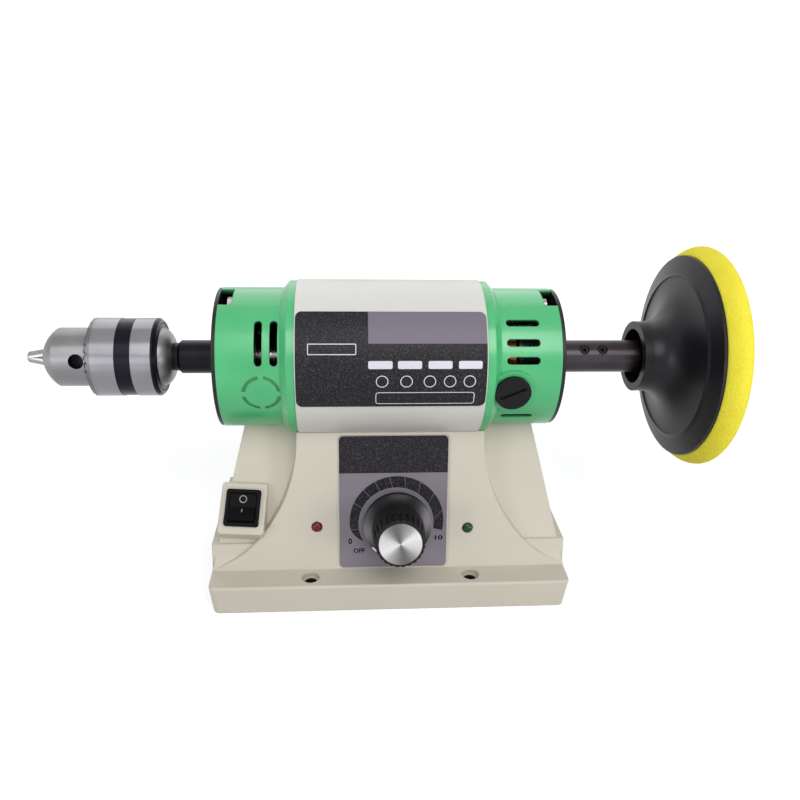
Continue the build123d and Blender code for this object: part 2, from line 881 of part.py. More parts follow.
with BuildPart() as right_end_bell:
    add(end_bell(1))
    slot_x = right_face_x - right_slot_from_face
    for turn in (0, 180):
        for angle in right_slot_angles:
            with BuildSketch(radial_plane(slot_x, angle + turn, bell_radius + overrun)):
                SlotOverall(right_slot_length, slot_width)
            extrude(amount=-(bell_wall + 2 * overrun), mode=Mode.SUBTRACT)
    # raised boss and seat of each brush cap
    for angle in front_back:
        with BuildSketch(radial_plane(brush_x, angle, bell_radius + brush_boss_height)):
            Circle(brush_boss_radius)
        extrude(amount=-(bell_wall + brush_boss_height))
        with BuildSketch(radial_plane(brush_x, angle, bell_radius + brush_boss_height + overrun)):
            Circle(brush_cap_neck + seat_gap)
        extrude(amount=-(2 * bell_wall + brush_boss_height), mode=Mode.SUBTRACT)
        with BuildSketch(radial_plane(brush_x, angle, bell_radius + brush_boss_height)):
            Circle(brush_cap_radius + body_gap)
        extrude(amount=brush_cap_height + overrun, mode=Mode.SUBTRACT)
save(right_end_bell, "right_end_bell")


# Black end plates, each held by four countersunk screws
def end_plate(side):
    def at(depth):
        return motor_x + side * (tube_half_length + bell_length - depth)

    return turned([
        (at(0), arbor_radius + overrun),
        (at(0), bell_radius - end_plate_recess),
        (at(end_plate_thickness), bell_radius - end_plate_recess),
        (at(end_plate_thickness), arbor_radius + overrun),
    ])


for side, name in ((-1, "left_end_plate"), (1, "right_end_plate")):
    with BuildPart() as plate:
        add(end_plate(side))
        for screw_plane in end_screw_planes(side):
            cutter = countersunk_screw(
                screw_plane,
                end_screw_radius + fit_gap,
                end_screw_head_radius + fit_gap,
                end_screw_length,
            )
            add(cutter, mode=Mode.SUBTRACT)
    save(plate, name)

with BuildPart() as end_plate_screws:
    for side in (-1, 1):
        for screw_plane in end_screw_planes(side):
            add(countersunk_screw(screw_plane, end_screw_radius, end_screw_head_radius, end_screw_length))
save(end_plate_screws, "end_plate_screws")


# Bearings, each one a closed ring in its hub
def bearing(side):
    def at(depth):
        return motor_x + side * (tube_half_length + bell_length - depth)

    front = wall_out + bearing_lip
    return turned([
        (at(front), journal_radius + fit_gap),
        (at(front), bearing_radius),
        (at(front + bearing_width), bearing_radius),
        (at(front + bearing_width), journal_radius + fit_gap),
    ])


for side, name in ((-1, "left_bearing"), (1, "right_bearing")):
    with BuildPart() as ring:
        add(bearing(side))
    save(ring, name)


# Motor shaft, with a journal in each bearing and a stub beyond it
journal_in = tube_half_length + bell_length - hub_in + overrun
journal_out = tube_half_length + bell_length - end_plate_thickness - rim_depth / 2
stub_right_x = rod_bore_end_x - overrun
stub_left_x = arbor_front_x + arbor_neck_radius

with BuildPart() as motor_shaft:
    add(
        turned([
            (stub_left_x, 0),
            (stub_left_x, stub_radius),
            (motor_x - journal_out, stub_radius),
            (motor_x - journal_out, journal_radius),
            (motor_x - journal_in, journal_radius),
            (motor_x - journal_in, shaft_radius),
            (motor_x + journal_in, shaft_radius),
            (motor_x + journal_in, journal_radius),
            (motor_x + journal_out, journal_radius),
            (motor_x + journal_out, stub_radius),
            (stub_right_x, stub_radius),
            (stub_right_x, 0),
        ])
    )
save(motor_shaft, "motor_shaft")


# Stator core with two poles, and its field coils
window_half_angle = 90 - pole_half_angle

with BuildPart() as stator_core:
    with BuildSketch(cross_plane(motor_x - stator_half_length)):
        Circle(spigot_radius)
        Circle(stator_bore, mode=Mode.SUBTRACT)
        with Locations(around(bolt_angle, bolt_circle), around(bolt_angle + 180, bolt_circle)):
            Circle(bolt_radius + fit_gap, mode=Mode.SUBTRACT)
        for middle in (0, 180):
            with BuildSketch(mode=Mode.SUBTRACT):
                with BuildLine():
                    low = around(middle - window_half_angle, window_outer_radius)
                    high = around(middle + window_half_angle, window_outer_radius)
                    ThreePointArc(low, around(middle, window_outer_radius), high)
                    Polyline(high, (0, 0), low)
                make_face()
    extrude(amount=2 * stator_half_length)
save(stator_core, "stator_core")

coil_gap = 2.0
coil_half_length = stator_half_length + coil_overhang

with BuildPart() as field_coils:
    with BuildSketch(cross_plane(motor_x - coil_half_length)):
        Circle(coil_outer_radius)
        Circle(coil_inner_radius, mode=Mode.SUBTRACT)
        Rectangle(2 * coil_outer_radius, coil_gap, mode=Mode.SUBTRACT)
    extrude(amount=2 * coil_half_length)
    # the pole stands in the middle of each coil
    with BuildSketch(cross_plane(motor_x - stator_half_length - body_gap)):
        for middle in (90, 270):
            with BuildLine():
                reach = 2 * coil_outer_radius
                low = around(middle - pole_half_angle - overrun, reach)
                high = around(middle + pole_half_angle + overrun, reach)
                ThreePointArc(low, around(middle, reach), high)
                Polyline(high, (0, 0), low)
            make_face()
    extrude(amount=2 * (stator_half_length + body_gap), mode=Mode.SUBTRACT)
save(field_coils, "field_coils")


# Armature: a slotted core, the winding in its slots with its end turns, and the commutator
with BuildPart() as armature_core:
    with BuildSketch(cross_plane(motor_x - stator_half_length)):
        Circle(armature_radius)
        Circle(shaft_radius, mode=Mode.SUBTRACT)
        with PolarLocations(armature_radius - armature_slot_depth / 2, armature_slots):
            SlotOverall(2 * armature_slot_depth, armature_slot_width, mode=Mode.SUBTRACT)
    extrude(amount=2 * stator_half_length)
save(armature_core, "armature_core")

slot_root = armature_radius - 3 * armature_slot_depth / 2

with BuildPart() as armature_winding:
    for side in (-1, 1):
        inner_x = motor_x + side * stator_half_length
        outer_x = inner_x + side * winding_overhang
        add(
            turned([
                (inner_x, shaft_radius),
                (inner_x, winding_radius),
                (outer_x - side * coil_gap, winding_radius),
                (outer_x, winding_radius - coil_gap),
                (outer_x, shaft_radius),
            ])
        )
    # wire bundles that lie in the slots and join the end turns
    with BuildSketch(cross_plane(motor_x - stator_half_length)):
        with PolarLocations((slot_root + winding_radius - overrun) / 2, armature_slots):
            SlotOverall(winding_radius - overrun - slot_root, armature_slot_width - 2 * fit_gap)
    extrude(amount=2 * stator_half_length)
save(armature_winding, "armature_winding")

commutator_left = brush_x - commutator_length / 2

with BuildPart() as commutator:
    with BuildSketch(cross_plane(commutator_left)):
        Circle(commutator_radius)
        Circle(shaft_radius, mode=Mode.SUBTRACT)
        with PolarLocations(commutator_radius, commutator_bars):
            Rectangle(2 * commutator_groove, commutator_groove, mode=Mode.SUBTRACT)
    extrude(amount=commutator_length)
save(commutator, "commutator")


# Cooling fan between the field coils and the left hub
fan_right = motor_x - coil_half_length - 2 * fan_blade_thickness - fan_width / 2

with BuildPart() as cooling_fan:
    with BuildSketch(cross_plane(fan_right - fan_width)):
        Circle(fan_hub_radius)
        Circle(shaft_radius, mode=Mode.SUBTRACT)
    extrude(amount=fan_width)
    with BuildSketch(cross_plane(fan_right - fan_disc)):
        Circle(fan_radius)
        Circle(shaft_radius, mode=Mode.SUBTRACT)
    extrude(amount=fan_disc)
    blade_length = fan_radius - fan_hub_radius
    with BuildSketch(cross_plane(fan_right - fan_width)):
        with PolarLocations((fan_radius + fan_hub_radius) / 2, fan_blades):
            Rectangle(blade_length + overrun, fan_blade_thickness)
    extrude(amount=fan_width)
    with BuildSketch(cross_plane(fan_right - fan_width)):
        Circle(2 * fan_radius)
        Circle(fan_radius, mode=Mode.SUBTRACT)
    extrude(amount=fan_width, mode=Mode.SUBTRACT)
save(cooling_fan, "cooling_fan")


# Through bolts with heads at the right and nuts at the left, seen in the rim notches
bolt_seat_right = motor_x + tube_half_length + bell_length - wall_out
bolt_seat_left = motor_x - tube_half_length - bell_length + wall_out

with BuildPart() as through_bolts:
    bolt_places = (around(bolt_angle, bolt_circle), around(bolt_angle + 180, bolt_circle))
    with BuildSketch(cross_plane(bolt_seat_right)):
        with Locations(*bolt_places):
            Circle(bolt_head_radius)
    extrude(amount=bolt_head_height)
    with BuildSketch(cross_plane(bolt_seat_left - bolt_nut_height)):
        with Locations(*bolt_places):
            Circle(bolt_radius)
    extrude(amount=bolt_seat_right - bolt_seat_left + bolt_nut_height)
save(through_bolts, "through_bolts")

with BuildPart() as bolt_nuts:
    with BuildSketch(cross_plane(bolt_seat_left)):
        with Locations(*bolt_places):
            RegularPolygon(bolt_nut_flats / 2, 6, major_radius=False)
            Circle(bolt_radius + fit_gap, mode=Mode.SUBTRACT)
    extrude(amount=-bolt_nut_height)
save(bolt_nuts, "bolt_nuts")


# Motor screws, from inside the base up into the spigots
with BuildPart() as motor_screws:
    roof_z = motor_bottom - seat_gap - base_wall
    for side in (-1, 1):
        seat = Plane(origin=(motor_x + side * motor_screw_x, 0, roof_z), z_dir=(0, 0, -1))
        reach = base_wall + seat_gap + tube_wall + spigot_wall
        add(pan_screw(seat, motor_screw_radius, motor_screw_head_radius, motor_screw_head_height, reach))
save(motor_screws, "motor_screws")


# Brush gear: square brass tubes, carbon brushes, coil springs and slotted caps, front and back
holder_inner = commutator_radius + 2 * overrun
brush_tip = commutator_radius + 2 * fit_gap
brush_back = brush_tip + brush_length

with BuildPart() as brush_holders:
    for angle in front_back:
        with BuildSketch(radial_plane(brush_x, angle, holder_inner)):
            Circle(brush_cap_neck)
            Rectangle(brush_thickness, brush_width, mode=Mode.SUBTRACT)
        extrude(amount=bell_radius - bell_wall - holder_inner)
save(brush_holders, "brush_holders")

with BuildPart() as carbon_brushes:
    for angle in front_back:
        with BuildSketch(radial_plane(brush_x, angle, brush_tip)):
            Rectangle(brush_thickness - 2 * fit_gap, brush_width - 2 * fit_gap)
        extrude(amount=brush_length)
    with BuildSketch(cross_plane(commutator_left)):
        Circle(brush_tip)
    extrude(amount=commutator_length, mode=Mode.SUBTRACT)
save(carbon_brushes, "carbon_brushes")

spring_length = bell_radius - bell_wall - brush_back

with BuildPart() as brush_springs:
    for angle in front_back:
        with BuildSketch(radial_plane(brush_x, angle, brush_back)):
            Circle(brush_spring_radius)
            Circle(brush_spring_radius - 2 * brush_spring_wire, mode=Mode.SUBTRACT)
        extrude(amount=spring_length)
save(brush_springs, "brush_springs")

with BuildPart() as brush_caps:
    for angle in front_back:
        face = bell_radius + brush_boss_height
        with BuildSketch(radial_plane(brush_x, angle, face)):
            Circle(brush_cap_radius)
        extrude(amount=brush_cap_height)
        with BuildSketch(radial_plane(brush_x, angle, face)):
            Circle(brush_cap_neck)
        extrude(amount=bell_radius - bell_wall - face)
        with BuildSketch(radial_plane(brush_x, angle, face + brush_cap_height)):
            Rectangle(2 * brush_cap_neck, brush_cap_slot, rotation=brush_slot_turn)
        extrude(amount=-brush_cap_height / 2, mode=Mode.SUBTRACT)
save(brush_caps, "brush_caps")


# Name plate: a thin curved plate on the front of the tube, left blank
with BuildPart() as name_plate:
    plate_span = name_plate_high_angle - name_plate_low_angle
    plate_middle = (name_plate_high_angle + name_plate_low_angle) / 2
    plate_inner = tube_radius + seat_gap
    plate_outer = plate_inner + name_plate_thickness
    plate_tall = 2 * tube_radius * sin(radians(plate_span / 2))
    with BuildSketch(radial_plane((name_plate_left + name_plate_right) / 2, plate_middle, tube_radius / 2)):
        RectangleRounded(name_plate_right - name_plate_left, plate_tall, name_plate_corner)
    extrude(amount=tube_radius)
    with BuildSketch(cross_plane(name_plate_left)):
        Circle(plate_outer)
        Circle(plate_inner, mode=Mode.SUBTRACT)
    extrude(amount=name_plate_right - name_plate_left, mode=Mode.INTERSECT)
save(name_plate, "name_plate")


# Rocker switch: a black body that clips into the wing, and its rocker
switch_face = switch_plane(0)
pocket_width = switch_body_width - 2 * switch_body_wall
pocket_length = switch_body_length - 2 * switch_body_wall
rocker_radius = pocket_length / 2 - body_gap
rocker_axis_plane = switch_face.offset(switch_bezel_height - rocker_pivot_depth)
rocker_depth = rocker_radius

with BuildPart() as switch_body:
    with BuildSketch(switch_face):
        RectangleRounded(switch_bezel_width, switch_bezel_length, switch_bezel_rim)
    extrude(amount=switch_bezel_height)
    with BuildSketch(switch_face):
        Rectangle(switch_body_width, switch_body_length)
    extrude(amount=-switch_body_depth)
    # pocket for the rocker
    with BuildSketch(switch_face.offset(switch_bezel_height)):
        Rectangle(pocket_width, pocket_length)
    extrude(amount=-(rocker_depth + body_gap), mode=Mode.SUBTRACT)
    # rocker pivot pins
    side_plane = Plane(
        origin=rocker_axis_plane.from_local_coords(Vector(-switch_body_width / 2, 0, 0)),
        x_dir=rocker_axis_plane.y_dir,
        z_dir=rocker_axis_plane.x_dir,
    )
    with BuildSketch(side_plane):
        Circle(rocker_pin_radius)
    extrude(amount=switch_body_width)
    with BuildSketch(side_plane.offset(2 * switch_body_wall)):
        Circle(2 * rocker_pin_radius)
    extrude(amount=switch_body_width - 4 * switch_body_wall, mode=Mode.SUBTRACT)
    # three blade terminals
    with BuildSketch(switch_face.offset(-switch_body_depth)):
        with GridLocations(0, switch_pin_pitch, 1, 3):
            Rectangle(switch_pin_width, switch_pin_thickness)
    extrude(amount=-switch_pin_length)
save(switch_body, "switch_body")

rocker_width = pocket_width - 2 * body_gap
tilt = radians(rocker_tilt)
rocker_plane = Plane(
    origin=rocker_axis_plane.from_local_coords(Vector(-rocker_width / 2, 0, 0)),
    x_dir=rocker_axis_plane.y_dir * cos(tilt) - rocker_axis_plane.z_dir * sin(tilt),
    z_dir=rocker_axis_plane.x_dir,
)

with BuildPart() as switch_rocker:
    with BuildSketch(rocker_plane):
        Circle(rocker_radius)
        # a faceted top: two flats that meet in a shallow valley, and a flat underside
        with BuildSketch(mode=Mode.INTERSECT):
            Polygon(
                (-rocker_radius, -rocker_radius / 2),
                (rocker_radius, -rocker_radius / 2),
                (rocker_radius, rocker_crown),
                (0, rocker_dip),
                (-rocker_radius, rocker_crown),
                align=None,
            )
        Circle(rocker_pin_radius + fit_gap, mode=Mode.SUBTRACT)
    extrude(amount=rocker_width)
save(switch_rocker, "switch_rocker")


# Indicator lamps: a domed lens through the panel with a flange behind it
for name, lamp_plane in lamp_planes.items():
    dome_radius = (lamp_radius ** 2 + lamp_rise ** 2) / (2 * lamp_rise)
    with BuildPart() as lamp:
        with BuildSketch(Plane(origin=lamp_plane.origin, x_dir=lamp_plane.x_dir, z_dir=-lamp_plane.y_dir)):
            with BuildLine():
                thick = base_wall
                rim = (lamp_radius, 0)
                top = (0, lamp_rise)
                middle_angle = pi / 2 - asin(lamp_radius / dome_radius) / 2
                middle = (
                    dome_radius * cos(middle_angle),
                    lamp_rise - dome_radius + dome_radius * sin(middle_angle),
                )
                ThreePointArc(rim, middle, top)
                back = -thick - lamp_flange_height
                Polyline(
                    top,
                    (0, back - lamp_tail),
                    (lamp_radius, back - lamp_tail),
                    (lamp_radius, back),
                    (lamp_flange_radius, back),
                    (lamp_flange_radius, -thick),
                    (lamp_radius, -thick),
                    rim,
                )
            make_face()
        revolve(axis=Axis(lamp_plane.origin, lamp_plane.z_dir))
    save(lamp, name)


# Control plate with the hole of the speed control
plate_floor = plate_plane.offset(-plate_pocket_depth)
dial_floor = dial_plane.offset(-plate_pocket_depth)
plate_face = dial_floor.offset(control_plate_thickness)

with BuildPart() as control_plate:
    with BuildSketch(plate_floor):
        RectangleRounded(control_plate_width, control_plate_length, control_plate_corner)
    extrude(amount=control_plate_thickness)
    with BuildSketch(dial_floor):
        Circle(pot_bush_radius + fit_gap)
    extrude(amount=control_plate_thickness, mode=Mode.SUBTRACT)
save(control_plate, "control_plate")


# Speed control: the potentiometer behind the panel, its nut, its shaft and the knob
panel_back = dial_plane.offset(-base_wall)
shaft_depth = base_wall + pot_depth - base_wall / 2
knob_top = knob_clearance + knob_height
bush_top = plate_face.offset(pot_bush_rise)

with BuildPart() as potentiometer:
    with BuildSketch(panel_back):
        Circle(pot_radius)
    extrude(amount=-pot_depth)
    with BuildSketch(panel_back):
        Circle(pot_bush_radius)
    extrude(amount=base_wall + pot_bush_rise)
    with BuildSketch(bush_top):
        Circle(pot_shaft_radius + fit_gap)
    extrude(amount=-(pot_bush_rise + shaft_depth + seat_gap), mode=Mode.SUBTRACT)
    # three solder tags at the lower edge
    with BuildSketch(panel_back.offset(-pot_depth / 2)):
        with Locations((0, -pot_radius)):
            with GridLocations(pot_bush_radius, 0, 3, 1):
                Rectangle(switch_pin_thickness * 2, 2 * switch_pin_length)
    extrude(amount=switch_pin_thickness)
    with BuildSketch(bush_top):
        Circle(pot_shaft_radius + fit_gap)
    extrude(amount=-(pot_bush_rise + shaft_depth + seat_gap), mode=Mode.SUBTRACT)
save(potentiometer, "potentiometer")

with BuildPart() as pot_nut:
    with BuildSketch(plate_face):
        RegularPolygon(pot_nut_flats / 2, 6, major_radius=False)
        Circle(pot_bush_radius + fit_gap, mode=Mode.SUBTRACT)
    extrude(amount=pot_nut_height)
save(pot_nut, "pot_nut")

with BuildPart() as pot_shaft:
    with BuildSketch(plate_face.offset(-shaft_depth)):
        Circle(pot_shaft_radius)
    extrude(amount=shaft_depth + knob_clearance + knob_recess_depth + knob_shaft_depth)
save(pot_shaft, "pot_shaft")

with BuildPart() as speed_knob:
    knob_section = Plane(origin=plate_face.origin, x_dir=plate_face.x_dir, z_dir=-plate_face.y_dir)
    with BuildSketch(knob_section):
        with BuildLine():
            low = knob_clearance
            skirt = low + knob_skirt_edge
            waist = low + knob_waist_height
            recess = low + knob_recess_depth
            bore_end = recess + knob_shaft_depth
            ThreePointArc(
                (knob_skirt_radius, skirt),
                (
                    (knob_skirt_radius + 2 * knob_waist_radius) / 3,
                    (2 * skirt + waist) / 3,
                ),
                (knob_waist_radius, waist),
            )
            Polyline(
                (knob_waist_radius, waist),
                (knob_barrel_radius, knob_top),
                (knob_cap_radius + fit_gap, knob_top),
                (knob_cap_radius + fit_gap, knob_top - knob_cap_thickness + knob_cap_seat),
                (0, knob_top - knob_cap_thickness + knob_cap_seat),
                (0, bore_end),
                (pot_shaft_radius, bore_end),
                (pot_shaft_radius, recess),
                (knob_recess_radius, recess),
                (knob_recess_radius, low),
                (knob_skirt_radius, low),
                (knob_skirt_radius, skirt),
            )
        make_face()
    revolve(axis=Axis(plate_face.origin, plate_face.z_dir))
    # flutes round the front of the barrel
    with BuildSketch(plate_face.offset(knob_top)):
        with PolarLocations(knob_barrel_radius + knob_flute_radius / 2, knob_flutes):
            Circle(knob_flute_radius)
    extrude(amount=-knob_flute_length, mode=Mode.SUBTRACT)
save(speed_knob, "speed_knob")

with BuildPart() as knob_cap:
    with BuildSketch(plate_face.offset(knob_top - knob_cap_thickness + knob_cap_seat)):
        Circle(knob_cap_radius)
    extrude(amount=knob_cap_thickness)
save(knob_cap, "knob_cap")


# Speed board with its parts, on the posts of the bottom cover
board_z = cover_top + board_standoff
board_top = board_z + board_thickness


def board_screw_places():
    return GridLocations(board_length - 2 * board_screw_inset, board_width - 2 * board_screw_inset, 2, 2)


with BuildPart() as circuit_board:
    with BuildSketch(Plane.XY.offset(board_z)):
        Rectangle(board_length, board_width)
        with board_screw_places():
            Circle(board_screw_radius + fit_gap, mode=Mode.SUBTRACT)
    extrude(amount=board_thickness)
save(circuit_board, "circuit_board")

with BuildPart() as board_screws:
    for x in (-board_length / 2 + board_screw_inset, board_length / 2 - board_screw_inset):
        for y in (-board_width / 2 + board_screw_inset, board_width / 2 - board_screw_inset):
            seat = Plane(origin=(x, y, board_top))
            reach = board_thickness + board_standoff / 2
            add(pan_screw(seat, board_screw_radius, board_screw_head_radius, board_screw_head_height, reach))
save(board_screws, "board_screws")

with BuildPart() as heat_sink:
    sink_x, sink_y, sink_z = heat_sink_size
    with BuildSketch(Plane.XY.offset(board_top)):
        with Locations((heat_sink_x, 0)):
            Rectangle(sink_x, heat_sink_base, align=(Align.CENTER, Align.MIN))
            with GridLocations((sink_x - heat_sink_base / 2) / (heat_sink_fins - 1), 0, heat_sink_fins, 1):
                Rectangle(heat_sink_base / 2, sink_y, align=(Align.CENTER, Align.MIN))
    extrude(amount=sink_z)
save(heat_sink, "heat_sink")

with BuildPart() as triac:
    wide, deep, tall = triac_size
    with BuildSketch(Plane.XY.offset(board_top)):
        with Locations((heat_sink_x, 0)):
            Rectangle(wide, deep, align=(Align.CENTER, Align.MAX))
    extrude(amount=tall)
save(triac, "triac")

with BuildPart() as capacitor:
    wide, deep, tall = capacitor_size
    with BuildSketch(Plane.XY.offset(board_top)):
        with Locations((capacitor_x, -deep)):
            RectangleRounded(wide, deep, deep / 8)
    extrude(amount=tall)
save(capacitor, "capacitor")

with BuildPart() as choke:
    with BuildSketch(Plane.XY.offset(board_top)):
        with Locations((choke_x, 0)):
            Circle(choke_radius)
            Circle(choke_bore, mode=Mode.SUBTRACT)
    extrude(amount=choke_height)
save(choke, "choke")

with BuildPart() as terminal_block:
    wide, deep, tall = terminal_size
    with BuildSketch(Plane.XY.offset(board_top)):
        with Locations((capacitor_x, deep + board_screw_inset)):
            Rectangle(wide, deep)
    extrude(amount=tall)
    way = wide / terminal_ways
    with BuildSketch(Plane.XY.offset(board_top + tall)):
        with Locations((capacitor_x, deep + board_screw_inset)):
            with GridLocations(way, 0, terminal_ways, 1):
                Circle(way / 4)
    extrude(amount=-tall / 2, mode=Mode.SUBTRACT)
save(terminal_block, "terminal_block")


# Cable gland at the back, with a nut inside the housing
with BuildPart() as cable_gland:
    with BuildSketch(gland_plane):
        Circle(gland_radius + gland_flange / 2)
    extrude(amount=gland_flange)
    with BuildSketch(gland_plane.offset(gland_flange)):
        Circle(gland_radius)
    with BuildSketch(gland_plane.offset(gland_flange + gland_nose)):
        Circle((gland_radius + gland_bore_radius) / 2)
    loft()
    with BuildSketch(gland_plane):
        Circle(gland_thread_radius)
    extrude(amount=-gland_tail)
    with BuildSketch(gland_plane.offset(gland_flange + gland_nose)):
        Circle(gland_bore_radius)
    extrude(amount=-(gland_flange + gland_nose + gland_tail), mode=Mode.SUBTRACT)
save(cable_gland, "cable_gland")

with BuildPart() as gland_nut:
    with BuildSketch(gland_plane.offset(-base_wall)):
        RegularPolygon(gland_nut_flats / 2, 6, major_radius=False)
        Circle(gland_thread_radius + fit_gap, mode=Mode.SUBTRACT)
    extrude(amount=-gland_nut_height)
save(gland_nut, "gland_nut")


# Key chuck body: nose, core and back dome, with three slanted jaw bores and three key holes
jaw_slope = tan(radians(jaw_angle))
jaw_cross_x = chuck_tip_x + (jaw_radius / cos(radians(jaw_angle)) - jaw_tip_radius) / jaw_slope
nut_back_x = jaw_back_x + nut_length / 2
nut_front_x = nut_back_x - nut_length
core_under_nut = (nut_front_x - jaw_cross_x) * jaw_slope + jaw_radius - overrun
jaw_share = 360 / jaw_count
jaw_angles = [key_hole_angle + (number + 1 / 2) * jaw_share for number in range(jaw_count)]
jaw_open_x = jaw_back_x + jaw_travel * cos(radians(jaw_angle))


def jaw_plane(angle, x):
    """The plane across a jaw's slanted axis where that axis passes x."""
    lift = (x - jaw_cross_x) * jaw_slope
    y, z = around(angle, lift)
    out_y, out_z = around(angle, sin(radians(jaw_angle)))
    return Plane(
        origin=(x, y, axis_height + z),
        z_dir=(cos(radians(jaw_angle)), out_y, out_z),
    )


with BuildPart() as chuck_body:
    with BuildSketch(axial_plane):
        with BuildLine():
            ThreePointArc(
                (chuck_nose_x, chuck_nose_radius),
                (
                    (2 * chuck_nose_x + 3 * chuck_shoulder_x) / 5,
                    (chuck_nose_radius + 3 * chuck_body_radius) / 4,
                ),
                (chuck_shoulder_x, chuck_body_radius),
            )
            Polyline(
                (chuck_shoulder_x, chuck_body_radius),
                (nut_front_x - body_gap, chuck_body_radius),
                (nut_front_x - body_gap, core_under_nut),
                (nut_back_x + body_gap, core_under_nut),
                (nut_back_x + body_gap, chuck_core_radius),
                (sleeve_back_x + sleeve_back_bevel, chuck_core_radius),
                (sleeve_back_x + sleeve_back_bevel, chuck_dome_radius),
            )
            ThreePointArc(
                (sleeve_back_x + sleeve_back_bevel, chuck_dome_radius),
                (
                    chuck_back_x - chuck_dome_depth / 4,
                    (chuck_dome_radius + arbor_neck_radius) / 2 + overrun,
                ),
                (chuck_back_x, arbor_neck_radius + overrun),
            )
            Polyline(
                (chuck_back_x, arbor_neck_radius + overrun),
                (chuck_back_x, arbor_taper_large + fit_gap),
                (chuck_back_x - arbor_taper_length, arbor_taper_small + fit_gap),
                (chuck_back_x - arbor_taper_length, 0),
                (chuck_nose_x + chuck_mouth_depth, 0),
                (chuck_nose_x + chuck_mouth_depth, chuck_mouth_radius),
                (chuck_nose_x, chuck_mouth_radius),
                (chuck_nose_x, chuck_nose_radius),
            )
        make_face()
    revolve(axis=motor_axis)
    for angle in jaw_angles:
        with BuildSketch(jaw_plane(angle, chuck_nose_x - chuck_nose_radius)):
            Circle(jaw_radius + fit_gap)
        bore_length = (jaw_open_x + body_gap - chuck_nose_x + chuck_nose_radius) / cos(radians(jaw_angle))
        extrude(amount=bore_length + overrun, mode=Mode.SUBTRACT)
    for number in range(jaw_count):
        key_angle = key_hole_angle + number * jaw_share
        with BuildSketch(radial_plane(key_hole_x, key_angle, chuck_body_radius + overrun)):
            Circle(key_hole_radius)
        extrude(amount=-(key_hole_depth + overrun), mode=Mode.SUBTRACT)
save(chuck_body, "chuck_body")


# Chuck jaws: slanted pins cut to a third of a circle, so that the three close to a point
for number, angle in enumerate(jaw_angles):
    with BuildPart() as chuck_jaw:
        start_x = chuck_tip_x - jaw_radius
        with BuildSketch(jaw_plane(angle, start_x)):
            Circle(jaw_radius)
        extrude(amount=(jaw_back_x - start_x) / cos(radians(jaw_angle)) + jaw_radius)
        # keep the jaw's own third, between the nose tip and its back end
        with BuildSketch(cross_plane(chuck_tip_x)):
            with BuildLine():
                reach = 2 * chuck_body_radius
                corner = around(angle, jaw_gap / sin(radians(jaw_share / 2)))
                low = around(angle - jaw_share / 2, reach)
                high = around(angle + jaw_share / 2, reach)
                low = (low[0] + corner[0], low[1] + corner[1])
                high = (high[0] + corner[0], high[1] + corner[1])
                ThreePointArc(low, around(angle, reach), high)
                Polyline(high, corner, low)
            make_face()
        extrude(amount=jaw_back_x - chuck_tip_x, mode=Mode.INTERSECT)
        # round the tip
        with BuildSketch(axial_plane):
            with BuildLine():
                tip = (chuck_tip_x, 0)
                start = (chuck_tip_x, jaw_tip_radius - jaw_tip_round)
                RadiusArc(start, (chuck_tip_x + jaw_tip_round, jaw_tip_radius + seat_gap), jaw_tip_round)
                Polyline(
                    (chuck_tip_x + jaw_tip_round, jaw_tip_radius + seat_gap),
                    (chuck_tip_x + jaw_tip_round, chuck_body_radius),
                    (jaw_back_x, chuck_body_radius),
                    (jaw_back_x, 0),
                    tip,
                    start,
                )
            make_face()
        revolve(axis=motor_axis, mode=Mode.INTERSECT)
    save(chuck_jaw, "chuck_jaw_" + str(number + 1))


# Chuck sleeve with bevel teeth at its front, and the nut pressed into it
with BuildPart() as chuck_sleeve:
    with BuildSketch(axial_plane):
        with BuildLine():
            bevel_back = sleeve_front_x + sleeve_bevel_length
            band_front = sleeve_band_x
            band_back = sleeve_band_x + sleeve_band_width
            band_radius = sleeve_radius - sleeve_band_depth
            Polyline(
                (sleeve_front_x, sleeve_bevel_inner),
                (bevel_back, sleeve_radius),
                (band_front, sleeve_radius),
                (band_front, band_radius),
                (band_back, band_radius),
                (band_back, sleeve_radius),
                (sleeve_back_x, sleeve_radius),
                (sleeve_back_x + sleeve_back_bevel, sleeve_radius - sleeve_back_bevel),
                (sleeve_back_x + sleeve_back_bevel, sleeve_bore),
                (nut_front_x, sleeve_bore),
                (nut_front_x, chuck_body_radius + body_gap),
                (sleeve_front_x, chuck_body_radius + body_gap),
                close=True,
            )
        make_face()
    revolve(axis=motor_axis)
    # tooth gaps run down the bevel
    bevel_run = sqrt(sleeve_bevel_length ** 2 + (sleeve_radius - sleeve_bevel_inner) ** 2)
    for number in range(sleeve_teeth):
        angle = number * 360 / sleeve_teeth
        y, z = around(angle, sleeve_bevel_inner - overrun)
        out_y, out_z = around(angle, sleeve_radius - sleeve_bevel_inner)
        gap_plane = Plane(
            origin=(sleeve_front_x - overrun, y, axis_height + z),
            z_dir=(sleeve_bevel_length, out_y, out_z),
        )
        with BuildSketch(gap_plane):
            Circle(tooth_groove_radius)
        extrude(amount=bevel_run + 2 * overrun, mode=Mode.SUBTRACT)
save(chuck_sleeve, "chuck_sleeve")

with BuildPart() as chuck_nut:
    front_bore = (nut_front_x - jaw_cross_x) * jaw_slope + jaw_radius + nut_thread_depth
    back_bore = front_bore + nut_length * jaw_slope
    add(
        turned([
            (nut_front_x, front_bore),
            (nut_front_x, sleeve_bore - fit_gap),
            (nut_back_x, sleeve_bore - fit_gap),
            (nut_back_x, back_bore),
        ])
    )
save(chuck_nut, "chuck_nut")


# Chuck arbor: a coupler on the shaft stub with a neck and a taper for the chuck
arbor_back_x = left_face_x + end_plate_thickness + rim_depth / 2

